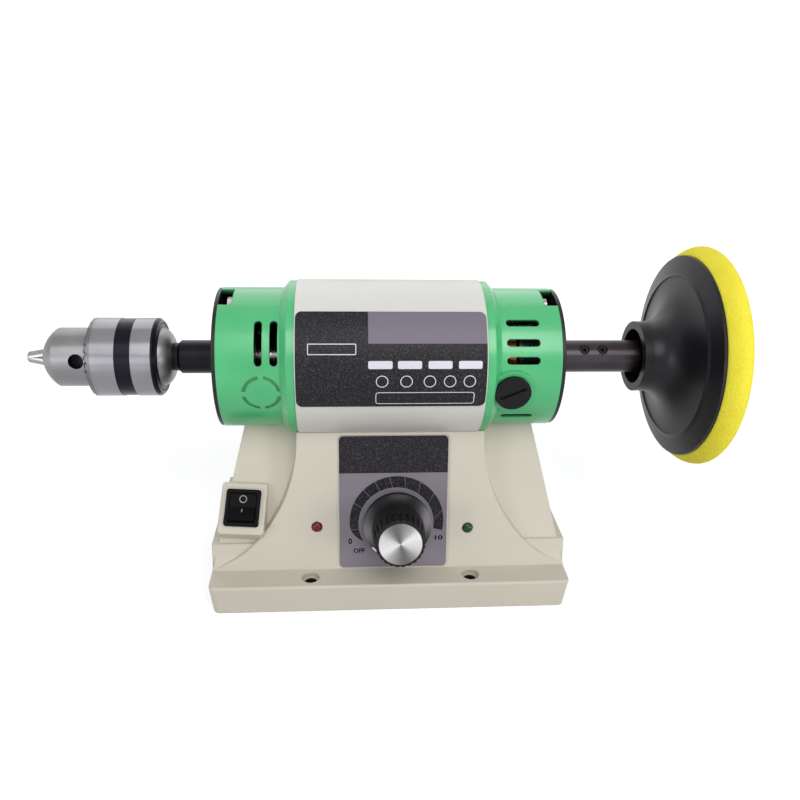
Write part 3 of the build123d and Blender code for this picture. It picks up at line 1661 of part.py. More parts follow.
with BuildPart() as chuck_arbor:
    taper_back = chuck_back_x
    add(
        turned([
            (taper_back - arbor_taper_length + seat_gap, 0),
            (taper_back - arbor_taper_length + seat_gap, arbor_taper_small),
            (taper_back, arbor_taper_large),
            (taper_back + body_gap, arbor_neck_radius),
            (arbor_front_x, arbor_neck_radius),
            (arbor_front_x, arbor_radius - arbor_chamfer),
            (arbor_front_x + arbor_chamfer, arbor_radius),
            (arbor_back_x, arbor_radius),
            (arbor_back_x, stub_radius + fit_gap),
            (stub_left_x - seat_gap, stub_radius + fit_gap),
            (stub_left_x - seat_gap, 0),
        ])
    )
    with BuildSketch(radial_plane(arbor_screw_x, arbor_screw_angle, arbor_radius + overrun)):
        Circle(set_screw_radius)
    extrude(amount=-(arbor_radius + overrun - stub_radius), mode=Mode.SUBTRACT)
save(chuck_arbor, "chuck_arbor")


def set_screw(x, angle, surface):
    """A hex-socket set screw, sunk a little below the surface and bearing on the shaft stub."""
    with BuildPart(mode=Mode.PRIVATE) as screw:
        with BuildSketch(radial_plane(x, angle, stub_radius + seat_gap)):
            Circle(set_screw_radius - seat_gap)
        extrude(amount=surface - set_screw_sink - stub_radius)
        with BuildSketch(radial_plane(x, angle, surface - set_screw_sink)):
            RegularPolygon(set_screw_socket, 6)
        extrude(amount=-set_screw_socket_depth / 2)
        with BuildSketch(radial_plane(x, angle, surface)):
            RegularPolygon(set_screw_socket, 6)
        extrude(amount=-set_screw_socket_depth, mode=Mode.SUBTRACT)
    return screw.part


with BuildPart() as arbor_set_screw:
    add(set_screw(arbor_screw_x, arbor_screw_angle, arbor_radius))
save(arbor_set_screw, "arbor_set_screw")


# Extension rod on the right stub, with two set screws and a threaded nose for the pad
rod_start_x = right_face_x - end_plate_thickness - rim_depth / 2

with BuildPart() as extension_rod:
    add(
        turned([
            (rod_start_x, stub_radius + fit_gap),
            (rod_start_x, rod_radius),
            (rod_end_x - arbor_chamfer / 2, rod_radius),
            (rod_end_x, rod_radius - arbor_chamfer / 2),
            (rod_end_x, rod_stud_radius),
            (rod_end_x + rod_stud_length, rod_stud_radius),
            (rod_end_x + rod_stud_length, 0),
            (rod_bore_end_x, 0),
            (rod_bore_end_x, stub_radius + fit_gap),
        ])
    )
    for number in range(2):
        screw_x = rod_screw_x + number * rod_screw_pitch
        with BuildSketch(radial_plane(screw_x, rod_screw_angle, rod_radius + overrun)):
            Circle(set_screw_radius)
        extrude(amount=-(rod_radius + overrun - stub_radius), mode=Mode.SUBTRACT)
save(extension_rod, "extension_rod")

with BuildPart() as rod_set_screws:
    for number in range(2):
        add(set_screw(rod_screw_x + number * rod_screw_pitch, rod_screw_angle, rod_radius))
save(rod_set_screws, "rod_set_screws")


# Pad: a threaded insert, the black trumpet-shaped plate, the foam and its hook face
insert_x = rod_end_x + seat_gap
plate_back_x = pad_rim_x

with BuildPart() as pad_insert:
    with BuildSketch(cross_plane(insert_x)):
        RegularPolygon(insert_flats / 2, 6, major_radius=False)
        Circle(rod_stud_radius + fit_gap, mode=Mode.SUBTRACT)
    extrude(amount=insert_length)
save(pad_insert, "pad_insert")

with BuildPart() as backing_plate:
    with BuildSketch(axial_plane):
        with BuildLine():
            hub_end = pad_hub_x + pad_hub_straight
            rim_front = pad_rim_x - pad_rim_thickness
            Line((pad_hub_x, pad_hub_radius), (hub_end, pad_hub_radius))
            Spline(
                (hub_end, pad_hub_radius),
                ((hub_end + 2 * pad_ring_x) / 3, (3 * pad_hub_radius + pad_ring_radius) / 4),
                (pad_ring_x, pad_ring_radius - pad_ring_width),
                tangents=[trumpet_start_tangent, trumpet_end_tangent],
            )
            Polyline(
                (pad_ring_x, pad_ring_radius - pad_ring_width),
                (pad_ring_x - pad_ring_height, pad_ring_radius - pad_ring_width / 2),
                (pad_ring_x + pad_ring_height / 2, pad_ring_radius + pad_ring_width),
                (rim_front, pad_rim_radius),
                (plate_back_x, pad_rim_radius),
                (plate_back_x, 0),
                (insert_x + insert_length, 0),
                (insert_x + insert_length, pad_recess_radius),
                (pad_hub_x, pad_recess_radius),
                (pad_hub_x, pad_hub_radius),
            )
        make_face()
    revolve(axis=motor_axis)
    # the moulding closes round the insert behind the open recess
    with BuildSketch(cross_plane(insert_x)):
        Circle(pad_recess_radius + overrun)
        RegularPolygon(insert_flats / 2 + seat_gap, 6, major_radius=False, mode=Mode.SUBTRACT)
    extrude(amount=insert_length)
save(backing_plate, "backing_plate")

foam_front_x = plate_back_x + foam_thickness

with BuildPart() as foam_pad:
    with BuildSketch(axial_plane):
        with BuildLine():
            bulge_x = plate_back_x + foam_widest
            ThreePointArc(
                (plate_back_x, foam_back_radius),
                ((2 * plate_back_x + bulge_x) / 3, (foam_back_radius + 2 * foam_radius) / 3),
                (bulge_x, foam_radius),
            )
            RadiusArc(
                (bulge_x, foam_radius),
                (foam_front_x, foam_radius - foam_front_round),
                (foam_front_x - bulge_x + foam_front_round) / 2,
            )
            Polyline(
                (foam_front_x, foam_radius - foam_front_round),
                (foam_front_x, 0),
                (plate_back_x, 0),
                (plate_back_x, foam_back_radius),
            )
        make_face()
    revolve(axis=motor_axis)
save(foam_pad, "foam_pad")

with BuildPart() as hook_face:
    with BuildSketch(cross_plane(foam_front_x)):
        Circle(foam_radius - foam_front_round)
    extrude(amount=hook_thickness)
save(hook_face, "hook_face")
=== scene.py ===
import math

import bpy
import numpy as np
from mathutils import Matrix


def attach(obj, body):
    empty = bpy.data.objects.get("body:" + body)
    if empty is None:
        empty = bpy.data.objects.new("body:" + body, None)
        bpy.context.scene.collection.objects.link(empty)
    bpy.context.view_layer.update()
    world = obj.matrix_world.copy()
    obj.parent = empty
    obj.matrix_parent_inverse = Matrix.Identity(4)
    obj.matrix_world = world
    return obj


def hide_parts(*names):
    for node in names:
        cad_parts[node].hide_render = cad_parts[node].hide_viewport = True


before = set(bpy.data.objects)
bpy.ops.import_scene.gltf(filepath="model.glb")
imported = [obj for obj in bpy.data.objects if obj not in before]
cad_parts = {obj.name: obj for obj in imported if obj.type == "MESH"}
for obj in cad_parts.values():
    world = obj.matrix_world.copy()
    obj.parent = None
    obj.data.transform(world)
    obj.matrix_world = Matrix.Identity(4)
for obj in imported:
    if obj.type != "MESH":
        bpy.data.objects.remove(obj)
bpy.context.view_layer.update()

# The table the machine stands on: a plain pale sheet.
# It is there for the shadow only and is no part of the object.
floor_colour = (0.50, 0.50, 0.50)
floor_reach = 3.0
near_glow, far_glow = 0.58, 1.0
near_radius, far_radius = 0.28, 0.9


def wire(tree, kind, feeds, **settings):
    """One shader node: its settings are set, and each named input takes a value or another node's output."""
    made = tree.nodes.new(kind)
    for setting, value in settings.items():
        setattr(made, setting, value)
    for socket, feed in feeds.items():
        if isinstance(feed, bpy.types.NodeSocket):
            tree.links.new(feed, made.inputs[socket])
        else:
            made.inputs[socket].default_value = feed
    return made


def put_mesh(name, points, faces, material, smooth=True):
    """A new object at the origin from an array of points in metres and a list of faces."""
    mesh = bpy.data.meshes.new(name)
    mesh.from_pydata(np.asarray(points, float).tolist(), [], faces)
    mesh.materials.append(material)
    mesh.shade_smooth() if smooth else mesh.shade_flat()
    piece = bpy.data.objects.new(name, mesh)
    bpy.context.scene.collection.objects.link(piece)
    return piece


def calc(tree, operation, *values):
    """The result of a Math node; a value may be a number or another node's output."""
    return wire(tree, "ShaderNodeMath", dict(enumerate(values)), operation=operation).outputs[0]


def vector(tree, operation, *values):
    """The result of a Vector Math node: a number for a length, distance or dot product."""
    made = wire(tree, "ShaderNodeVectorMath", dict(enumerate(values)), operation=operation)
    return made.outputs["Value" if operation in ("LENGTH", "DISTANCE", "DOT_PRODUCT") else "Vector"]


def seen_straight(tree):
    """One for the camera's rays and for those that metal or glass sends on, otherwise nought."""
    path = wire(tree, "ShaderNodeLightPath", {})
    most = calc(tree, "MAXIMUM", path.outputs["Is Camera Ray"], path.outputs["Is Glossy Ray"])
    return calc(tree, "MAXIMUM", most, path.outputs["Is Transmission Ray"])


floor_finish = bpy.data.materials.new("floor_sheet")
floor_finish.use_nodes = True
tree = floor_finish.node_tree
paint = tree.nodes["Principled BSDF"]
paint.inputs["Base Color"].default_value = (*floor_colour, 1)
paint.inputs["Roughness"].default_value = 0.9
spot = wire(tree, "ShaderNodeTexCoord", {}).outputs["Object"]
away = vector(tree, "LENGTH", spot)
glow = wire(tree, "ShaderNodeMapRange", {
    "Value": away, "From Min": near_radius, "From Max": far_radius, "To Min": near_glow, "To Max": far_glow,
}).outputs[0]
glow = calc(tree, "MULTIPLY", seen_straight(tree), glow)
paint.inputs["Emission Color"].default_value = (1, 1, 1, 1)
tree.links.new(glow, paint.inputs["Emission Strength"])
corners = np.array([(-1, -1, 0), (1, -1, 0), (1, 1, 0), (-1, 1, 0)]) * floor_reach
floor = put_mesh("floor", corners, [(0, 1, 2, 3)], floor_finish, smooth=False)


# The studio: a pale room, one broad lamp above the front, a small one low at each side and one
# over the back. The lamps only light the object at a plain level.
room = bpy.data.worlds.new("room")
room.use_nodes = True
bpy.context.scene.world = room
tree = room.node_tree
soft = wire(tree, "ShaderNodeBackground", {"Color": (0.94, 0.96, 1, 1), "Strength": 0.50})
white = wire(tree, "ShaderNodeBackground", {"Color": (1, 1, 1, 1), "Strength": 1.0})
mixed = wire(tree, "ShaderNodeMixShader", {0: seen_straight(tree), 1: soft.outputs[0], 2: white.outputs[0]})
tree.links.new(mixed.outputs[0], tree.nodes["World Output"].inputs["Surface"])


def lamp_panel(name, place, aim, size, watts):
    """A square area lamp at place that looks at aim."""
    data = bpy.data.lights.new(name, "AREA")
    data.size = size
    data.energy = watts
    lamp = bpy.data.objects.new(name, data)
    bpy.context.scene.collection.objects.link(lamp)
    away = np.array(place, float) - np.array(aim, float)
    away = away / np.linalg.norm(away)
    side = np.cross((0, 0, 1), away)
    side = side / np.linalg.norm(side)
    rise = np.cross(away, side)
    turn = np.eye(4)
    turn[:3, 0], turn[:3, 1], turn[:3, 2], turn[:3, 3] = side, rise, away, place
    lamp.matrix_world = Matrix(turn.tolist())


lamp_panel("key_lamp", (0.15, -0.85, 0.95), (0, 0, 0.09), 0.7, 7.6)
lamp_panel("right_lamp", (0.85, -0.80, 0.24), (0, 0, 0.09), 0.35, 3.3)
lamp_panel("left_lamp", (-0.80, -0.80, 0.26), (0, 0, 0.09), 0.35, 2.3)
lamp_panel("back_lamp", (-0.1, 0.85, 0.90), (0, 0, 0.12), 1.1, 3.8)


# The photograph's camera, found by fitting the machine's own lines in perspective. Its place is in
# metres, and its three directions are unit vectors in the shared frame.
image_width = 800
focal_pixels = 739.99
camera_place = (-0.022597, -0.388702, 0.287960)
camera_right = (0.99774456, -0.06286906, 0.02352189)
camera_up = (0.00538181, 0.42421246, 0.9055467)
camera_forward = (0.06690914, 0.9033777, -0.42359402)

lens = bpy.data.cameras.new("camera")
lens.sensor_width = 36.0
lens.lens = focal_pixels / image_width * lens.sensor_width
lens.clip_start = 0.01
camera = bpy.data.objects.new("camera", lens)
bpy.context.scene.collection.objects.link(camera)
pose = np.eye(4)
pose[:3, 0], pose[:3, 1], pose[:3, 2] = camera_right, camera_up, -np.array(camera_forward)
pose[:3, 3] = camera_place
camera.matrix_world = Matrix(pose.tolist())
bpy.context.scene.camera = camera
bpy.context.scene.view_settings.view_transform = "Standard"


# Base housing and bottom cover: one moulded shell of beige plastic with a fine mould grain and painted
# shade down its four bench holes, closed from below by a cover of the same plastic.
beige = (0.533, 0.497, 0.418)
beige_shade = (0.512, 0.477, 0.400)
bench_hole = (0.0455, 0.0495, 0.0)
bench_bore = 0.0038
# The colour of the painted shade down the bench holes' bores.
well_shade_colour = (0.012, 0.011, 0.010, 1)


def dress(material, *names):
    """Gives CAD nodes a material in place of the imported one."""
    for name in names:
        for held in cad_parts[name].material_slots:
            held.material = material


def new_finish(name, rough, metal=0.0, specular=0.5, coat=0.0):
    """An empty node material; returns it with its tree, its shader and its Object coordinates."""
    material = bpy.data.materials.new(name)
    material.use_nodes = True
    tree = material.node_tree
    shader = tree.nodes["Principled BSDF"]
    shader.inputs["Roughness"].default_value = rough
    shader.inputs["Metallic"].default_value = metal
    shader.inputs["Specular IOR Level"].default_value = specular
    shader.inputs["Coat Weight"].default_value = coat
    shader.inputs["Coat Roughness"].default_value = 0.12
    place = wire(tree, "ShaderNodeTexCoord", {}).outputs["Object"]
    return material, tree, shader, place


def feed(tree, output, shader, socket):
    """Joins a node's output to one of the shader's inputs."""
    tree.links.new(output, shader.inputs[socket])


def two_tone(tree, amount, low, high, start=0.35, end=0.65):
    """A colour that goes from low to high as amount goes from start to end."""
    ramp = wire(tree, "ShaderNodeValToRGB", {"Fac": amount})
    ramp.color_ramp.elements[0].position = start
    ramp.color_ramp.elements[0].color = (*low, 1)
    ramp.color_ramp.elements[1].position = end
    ramp.color_ramp.elements[1].color = (*high, 1)
    return ramp.outputs["Color"]


def above(tree, value, limit):
    """One where the value is over the limit, otherwise nought."""
    return calc(tree, "GREATER_THAN", value, limit)


def blend(tree, share, low, high):
    """A colour share of the way from low to high."""
    return wire(tree, "ShaderNodeMix", {0: share, 6: low, 7: high}, data_type="RGBA").outputs[2]


def split(tree, vector):
    """A vector's three numbers."""
    parts = wire(tree, "ShaderNodeSeparateXYZ", {0: vector})
    return parts.outputs["X"], parts.outputs["Y"], parts.outputs["Z"]


def between(tree, amount, low, high):
    """A number that goes from low to high as amount goes from 0 to 1."""
    return wire(tree, "ShaderNodeMapRange", {"Value": amount, "To Min": low, "To Max": high}).outputs[0]


def noise(tree, place, scale, detail):
    """A soft random pattern between nought and one."""
    return wire(
        tree, "ShaderNodeTexNoise", {"Vector": place, "Scale": scale, "Detail": detail},
    ).outputs["Fac"]


def emboss(tree, shader, height, depth, edge=0.0):
    """Relief of a depth in metres; edge softens the mesh's own edges by that radius."""
    feeds = {"Height": height, "Distance": depth}
    if edge:
        feeds["Normal"] = wire(tree, "ShaderNodeBevel", {"Radius": edge}, samples=4).outputs[0]
    feed(tree, wire(tree, "ShaderNodeBump", feeds).outputs[0], shader, "Normal")


def unchanged(tree, place, colour):
    """A colour as it is, with nothing over it."""
    return colour


def moulded(
    name, colour, shade, rough, grain=0.00003, grain_scale=1500.0, edge=0.0006, coat=0.0, gleam=0.5,
    over=unchanged,
):
    """Moulded plastic: a faint cloud of a second shade, a fine grain and edges softened by the mould."""
    material, tree, shader, place = new_finish(name, rough, specular=gleam, coat=coat)
    cloud = noise(tree, place, 16.0, 3.0)
    feed(tree, over(tree, place, two_tone(tree, cloud, shade, colour)), shader, "Base Color")
    feed(tree, between(tree, cloud, rough + 0.05, rough - 0.05), shader, "Roughness")
    speck = noise(tree, place, grain_scale, 2.0)
    emboss(tree, shader, speck, grain, edge)
    return material


def painted_well_shade(tree, place, colour):
    """The four bench holes: painted shade, dark down inside their bores."""
    side, depth, height = split(tree, place)
    side = calc(tree, "ABSOLUTE", side)
    depth = calc(tree, "ABSOLUTE", depth)
    folded = wire(tree, "ShaderNodeCombineXYZ", {"X": side, "Y": depth}).outputs[0]
    away = vector(tree, "DISTANCE", folded, bench_hole)
    return blend(tree, above(tree, away, bench_bore), well_shade_colour, colour)


beige_plastic = moulded("beige_plastic", beige, beige_shade, 0.45, edge=0.0011, gleam=0.35, over=painted_well_shade)
dress(beige_plastic, "base_housing", "bottom_cover")


# Cable gland at the back: a moulded black nylon fitting, screwed through the housing's wall and
# held by its nut inside. No cord is fitted.
black = (0.011, 0.0105, 0.012)
black_shade = (0.008, 0.0075, 0.009)
nylon_black = moulded("nylon_black", black, black_shade, 0.45, gleam=0.25)
dress(nylon_black, "cable_gland", "gland_nut")


# Motor tube: a rolled steel tube in satin grey-white paint, a little orange-peeled. It is clamped
# between the two end bells by the through bolts.
tube_grey = (0.61, 0.60, 0.565)
tube_shade = (0.56, 0.55, 0.515)


def painted(name, colour, shade, rough, metal=0.0, edge=0.0005):
    """Sprayed paint: a slow drift of shade, shallow orange peel and worn-in gloss."""
    material, tree, shader, place = new_finish(name, rough, metal=metal, specular=0.35)
    cloud = noise(tree, place, 12.0, 2.0)
    feed(tree, two_tone(tree, cloud, shade, colour), shader, "Base Color")
    feed(tree, between(tree, cloud, rough + 0.06, rough - 0.04), shader, "Roughness")
    peel = noise(tree, place, 420.0, 1.0)
    emboss(tree, shader, peel, 0.00004, edge)
    return material


dress(painted("tube_paint", tube_grey, tube_shade, 0.40, metal=0.1), "motor_tube")


# End bells: glossy green mouldings, pulled on to the tube's ends by the through bolts. They carry
# the bearings and let air through their slots.
axis_height = 0.133
green = (0.058, 0.425, 0.158)
green_shade = (0.046, 0.365, 0.132)
# Painted shade: the dark green below the bells' skin, in their slots, notches and ring marks.
green_slot_shade = (0.004, 0.020, 0.009, 1)
bell_skin = (0.0368, 0.0383)


def from_axis(tree, place):
    """How far a place lies from the motor's axis."""
    return vector(tree, "DISTANCE", vector(tree, "MULTIPLY", place, (0, 1, 1)), (0, 0, axis_height))


def slot_shade_below_skin(tree, place, colour):
    """The bells' colour at their skin, and painted shade below it: in the slots, the notches and the ring
    marks.
    """
    reach = {"Value": from_axis(tree, place), "From Min": bell_skin[0], "From Max": bell_skin[1]}
    return blend(tree, wire(tree, "ShaderNodeMapRange", reach).outputs[0], green_slot_shade, colour)


green_plastic = moulded(
    "green_plastic", green, green_shade, 0.28, grain=0.000015, edge=0.0008, coat=0.22, over=slot_shade_below_skin,
)
dress(green_plastic, "left_end_bell", "right_end_bell")


# End plates and fan: thin black pressings, each held on its bell by four countersunk screws, and a
# black moulded fan pressed on the shaft inside. The triac's case is of the same satin black.
black_satin = moulded("black_satin", black, black_shade, 0.35, gleam=0.25)
dress(black_satin, "left_end_plate", "right_end_plate", "cooling_fan", "triac")


# Screws, bolts, nuts and springs: steel with bright zinc plating, as bought. The same plating is on
# the speed control's case and on the pad's insert.
zinc = (0.36, 0.36, 0.35)
zinc_shade = (0.27, 0.27, 0.26)
# The colour of painted shade in holes and slots.
hollow_shade_colour = (0.008, 0.008, 0.008, 1)


def painted_hollow_shade(reach):
    """Painted shade: what darkens a finish down in holes and slots, where walls stand close within reach."""

    def shaded_hollows(tree, place, colour):
        """The colour, with painted shade where little of the room is seen."""
        seen = wire(tree, "ShaderNodeAmbientOcclusion", {"Distance": reach}, samples=4).outputs["AO"]
        share = wire(tree, "ShaderNodeMapRange", {"Value": seen, "From Min": 0.15, "From Max": 0.6})
        return blend(tree, share.outputs[0], hollow_shade_colour, colour)

    return shaded_hollows


def plated(name, colour, shade, rough, edge=0.0002, over=unchanged):
    """Plated steel: a cloudy metal with fine scratches and softened edges."""
    material, tree, shader, place = new_finish(name, rough, metal=1.0)
    cloud = noise(tree, place, 300.0, 3.0)
    feed(tree, over(tree, place, two_tone(tree, cloud, shade, colour)), shader, "Base Color")
    feed(tree, between(tree, cloud, rough + 0.12, rough - 0.08), shader, "Roughness")
    emboss(tree, shader, cloud, 0.00002, edge)
    return material


# The plating has painted shade down in holes and slots.
zinc_plate = plated("zinc_plate", zinc, zinc_shade, 0.32, over=painted_hollow_shade(0.02))
dress(
    zinc_plate, "cover_screws", "end_plate_screws", "through_bolts", "bolt_nuts", "motor_screws",
    "brush_springs", "board_screws", "pot_nut", "potentiometer", "pad_insert",
)


# Shaft and bearings: turned steel, then ground, with the fine rings that this leaves. The shaft's
# journals are pressed into the bearings.
ground_steel = (0.42, 0.42, 0.43)
ground_shade = (0.32, 0.32, 0.33)


def turned(
    name, colour, shade, rough, ring_scale=2600.0, ring_depth=0.00001, edge=0.0003, brushed=0.0,
    centre=(0.0, 0.0, axis_height), axis=(1.0, 0.0, 0.0), metal=1.0,
    gleam=0.5, over=unchanged,
):
    """Metal turned about an axis: rings that depend on the place along it and the distance from it.
    Brushed draws its gleams out across the rings, by a quarter turn from the way they run."""
    material, tree, shader, place = new_finish(name, rough, metal=metal, specular=gleam)
    around = vector(tree, "SUBTRACT", place, centre)
    spin = vector(tree, "CROSS_PRODUCT", axis, around)
    radius = vector(tree, "LENGTH", spin)
    along = vector(tree, "DOT_PRODUCT", around, axis)
    lathe = wire(tree, "ShaderNodeCombineXYZ", {"X": along, "Y": radius}).outputs[0]
    rings = noise(tree, lathe, ring_scale, 2.0)
    cloud = noise(tree, place, 60.0, 4.0)
    feed(tree, over(tree, place, two_tone(tree, cloud, shade, colour)), shader, "Base Color")
    feed(tree, between(tree, rings, rough - 0.06, rough + 0.08), shader, "Roughness")
    emboss(tree, shader, rings, ring_depth, edge)
    shader.inputs["Anisotropic"].default_value = brushed
    shader.inputs["Anisotropic Rotation"].default_value = 0.25
    if brushed:
        turned_way = wire(
            tree, "ShaderNodeVectorTransform", {"Vector": spin},
            vector_type="VECTOR", convert_from="OBJECT", convert_to="WORLD",
        )
        feed(tree, turned_way.outputs[0], shader, "Tangent")
    return material


# The ground steel has painted shade down in holes and slots.
ground_shaft = turned("ground_shaft", ground_steel, ground_shade, 0.25, over=painted_hollow_shade(0.025))
dress(ground_shaft, "motor_shaft", "left_bearing", "right_bearing", "pot_shaft")


# Stator and armature cores: hundreds of thin stamped steel sheets stacked along the axis. The stator
# is pressed into the tube and the armature on to the shaft.
sheet_pitch = 0.0005


def laminated(name, colour, seam):
    """Stacked sheet steel: dark seams at an even pitch along X."""
    material, tree, shader, place = new_finish(name, 0.45, metal=0.8)
    along = wire(tree, "ShaderNodeSeparateXYZ", {0: place}).outputs["X"]
    share = calc(tree, "MULTIPLY", along, 1 / sheet_pitch)
    wave = calc(tree, "PINGPONG", share, 1.0)
    feed(tree, two_tone(tree, wave, seam, colour, 0.0, 0.3), shader, "Base Color")
    emboss(tree, shader, wave, 0.00005)
    return material


dress(laminated("sheet_steel", (0.085, 0.08, 0.08), (0.03, 0.03, 0.03)), "stator_core", "armature_core")


# Windings and commutator: copper wire dipped in dark varnish, the turns lying side by side, and
# turned copper bars on the shaft.
copper = (0.20, 0.075, 0.035)
copper_shade = (0.10, 0.035, 0.016)


def wound(name, pitch, over=unchanged):
    """Copper turns: round ridges at the wire's pitch, with darker varnish between them."""
    material, tree, shader, place = new_finish(name, 0.30, metal=0.9, coat=0.4)
    turns = wire(
        tree, "ShaderNodeTexWave",
        {"Vector": place, "Scale": 0.5 / pitch, "Distortion": 1.5, "Detail": 1.0}, bands_direction="DIAGONAL",
    )
    wires = two_tone(tree, turns.outputs["Fac"], copper_shade, copper, 0.2, 0.7)
    feed(tree, over(tree, place, wires), shader, "Base Color")
    emboss(tree, shader, turns.outputs["Fac"], 0.0003)
    return material


# The windings have painted shade where walls stand close round them.
dress(wound("copper_wire", 0.0009, over=painted_hollow_shade(0.025)), "field_coils", "armature_winding")
dress(turned("copper_bars", (0.72, 0.36, 0.20), (0.50, 0.22, 0.11), 0.3), "commutator")


# Brush gear: brass guides set in the right bell, pressed carbon brushes that slide in them, and
# black slotted caps screwed in from the outside.
dress(plated("brass_guides", (0.72, 0.53, 0.22), (0.55, 0.38, 0.14), 0.3), "brush_holders")
pressed_carbon = moulded(
    "pressed_carbon", (0.030, 0.030, 0.031), (0.018, 0.018, 0.019), 0.6, grain=0.00006,
)
dress(pressed_carbon, "carbon_brushes")
gloss_black = moulded(
    "gloss_black", (0.007, 0.0065, 0.0075), (0.005, 0.0045, 0.0055), 0.26, grain=0.000008, gleam=0.16,
)
dress(gloss_black, "brush_caps")


# Name plate: a black foil label round the front of the tube with a lavender-grey field at its upper
# right. Its lines of print are left bare; only plain white boxes and rings stand on it.
label_black = (0.009, 0.008, 0.010)
label_fleck = (0.075, 0.072, 0.085)
label_grey = (0.165, 0.145, 0.180, 1)
grey_field_x = -0.0134
grey_field_z = 0.1549
plate_radius = 43.55
ink_lift = 0.05
ink_white = (0.64, 0.61, 0.68)
value_boxes = ((-13.5, -1.1), (1.6, 13.9), (17.2, 29.5), (32.8, 45.0))
value_box_angles = (13.2, 18.6)
type_box = (-44.2, -19.5, 22.6, 30.2)
note_box = (-9.7, 41.7, -12.7, -3.3)
round_marks = (-6.4, 6.1, 18.1, 28.5, 38.7)
round_mark_angle = 4.5
round_mark_radius = 3.2


def flecked(tree, place, dark, light):
    """Black print with fine paler flecks in it."""
    fleck = noise(tree, place, 1800.0, 2.0)
    return two_tone(tree, fleck, dark, light, 0.52, 0.72)


def surface(name, grid, material, closed=False, smooth=True):
    """A mesh over rows and columns of points in metres; closed joins the last column to the first."""
    rows, columns = grid.shape[:2]
    number = np.arange(rows * columns).reshape(rows, columns)
    if closed:
        number = np.hstack([number, number[:, :1]])
    faces = np.stack([number[:-1, :-1], number[:-1, 1:], number[1:, 1:], number[1:, :-1]], -1)
    return put_mesh(name, grid.reshape(-1, 3), faces.reshape(-1, 4).tolist(), material, smooth)


def box_outline(low_u, high_u, low_v, high_v, corner, steps=160):
    """The outline of a rounded box, anticlockwise: four quarter circles, then points at even distances."""
    turn = (np.arange(64) + 0.5) * 2 * math.pi / 64
    middle = np.array([(low_u + high_u) / 2, (low_v + high_v) / 2])
    half = np.array([(high_u - low_u) / 2, (high_v - low_v) / 2]) - corner
    way = np.stack([np.cos(turn), np.sin(turn)], -1)
    loop = middle + np.sign(way) * half + corner * way
    loop = np.vstack([loop, loop[:1]])
    run = np.concatenate([[0], np.cumsum(np.linalg.norm(np.diff(loop, axis=0), axis=1))])
    at = np.arange(steps) / steps * run[-1]
    return np.stack([np.interp(at, run, loop[:, 0]), np.interp(at, run, loop[:, 1])], -1)


def frame_print(name, box, corner, line, place, material):
    """A printed line of even width round a box: the band between two rounded outlines."""
    low_u, high_u, low_v, high_v = box
    outer = box_outline(low_u, high_u, low_v, high_v, corner)
    inner = box_outline(low_u + line, high_u - line, low_v + line, high_v - line, max(corner - line, 0.05))
    return surface(name, place(np.stack([outer, inner])), material, closed=True)


def field_print(name, box, corner, place, material):
    """A printed rounded box: rows as wide as the box, drawn in by the corner's circle near both ends."""
    low_u, high_u, low_v, high_v = box
    v = np.linspace(low_v, high_v, 24)
    over = np.clip(np.abs(v - (low_v + high_v) / 2) - ((high_v - low_v) / 2 - corner), 0, corner)
    half = (high_u - low_u) / 2 - corner + np.sqrt(corner**2 - over**2)
    u = (low_u + high_u) / 2 + np.linspace(-1, 1, 12) * half[:, None]
    return surface(name, place(np.stack([u, np.broadcast_to(v[:, None], u.shape)], -1)), material)


def on_tube(flat):
    """Millimetres along the axis and up the arc from level with it, laid on the front of the name plate."""
    radius = plate_radius + ink_lift
    turn = flat[..., 1] / plate_radius
    wrapped = [flat[..., 0], -radius * np.cos(turn), 1000 * axis_height + radius * np.sin(turn)]
    return np.stack(wrapped, -1) / 1000


def arc(degrees):
    """An angle on the name plate as millimetres along its arc."""
    return math.radians(degrees) * plate_radius


label, tree, shader, place = new_finish("name_label", 0.45, specular=0.15)
along, across, height = split(tree, place)
field = calc(tree, "MULTIPLY", above(tree, along, grey_field_x), above(tree, height, grey_field_z))
print_colour = blend(tree, field, flecked(tree, place, label_black, label_fleck), label_grey)
feed(tree, print_colour, shader, "Base Color")
dress(label, "name_plate")

white_ink = moulded("white_ink", ink_white, (0.57, 0.54, 0.61), 0.5, grain=0.000005)
for count, (start, end) in enumerate(value_boxes):
    box = (start, end, arc(value_box_angles[0]), arc(value_box_angles[1]))
    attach(field_print(f"value_box_{count + 1}", box, 0.9, on_tube, white_ink), "frame")
for count, middle in enumerate(round_marks):
    level = arc(round_mark_angle)
    reach = round_mark_radius
    box = (middle - reach, middle + reach, level - reach, level + reach)
    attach(frame_print(f"round_mark_{count + 1}", box, reach - 0.01, 0.45, on_tube, white_ink), "frame")
box = (type_box[0], type_box[1], arc(type_box[2]), arc(type_box[3]))
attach(frame_print("type_box", box, 0.4, 0.45, on_tube, white_ink), "frame")
box = (note_box[0], note_box[1], arc(note_box[2]), arc(note_box[3]))
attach(frame_print("note_box", box, 1.6, 0.4, on_tube, white_ink), "frame")


# Control plate: a thin sheet in lavender grey with a black flecked band across its top, the dial's
# black ring of ten fields, and plain figures at both ends of it.
panel_grey = (0.190, 0.172, 0.197)
panel_grey_shade = (0.170, 0.153, 0.176)
black_band_z = 0.0745
dial_centre = np.array([3.4, -36.05, 46.4])
panel_out = np.array([0.0, -0.97525, 0.22109])
panel_rise = np.array([0.0, 0.22109, 0.97525])
plate_stand = 0.3
dial_radius = 26.8
dial_inner_radius = 21.5
dial_inner_centre = np.array([-0.3, -1.3])
dial_tip_length = 27.0
dial_lines = (
    (-122, -122), (-100, -103), (-65, -68), (-45, -46), (-28, -28), (-9, -7),
    (9, 15), (30, 36), (52, 61), (77, 88), (103, 103),
)
dial_line_width = 0.28


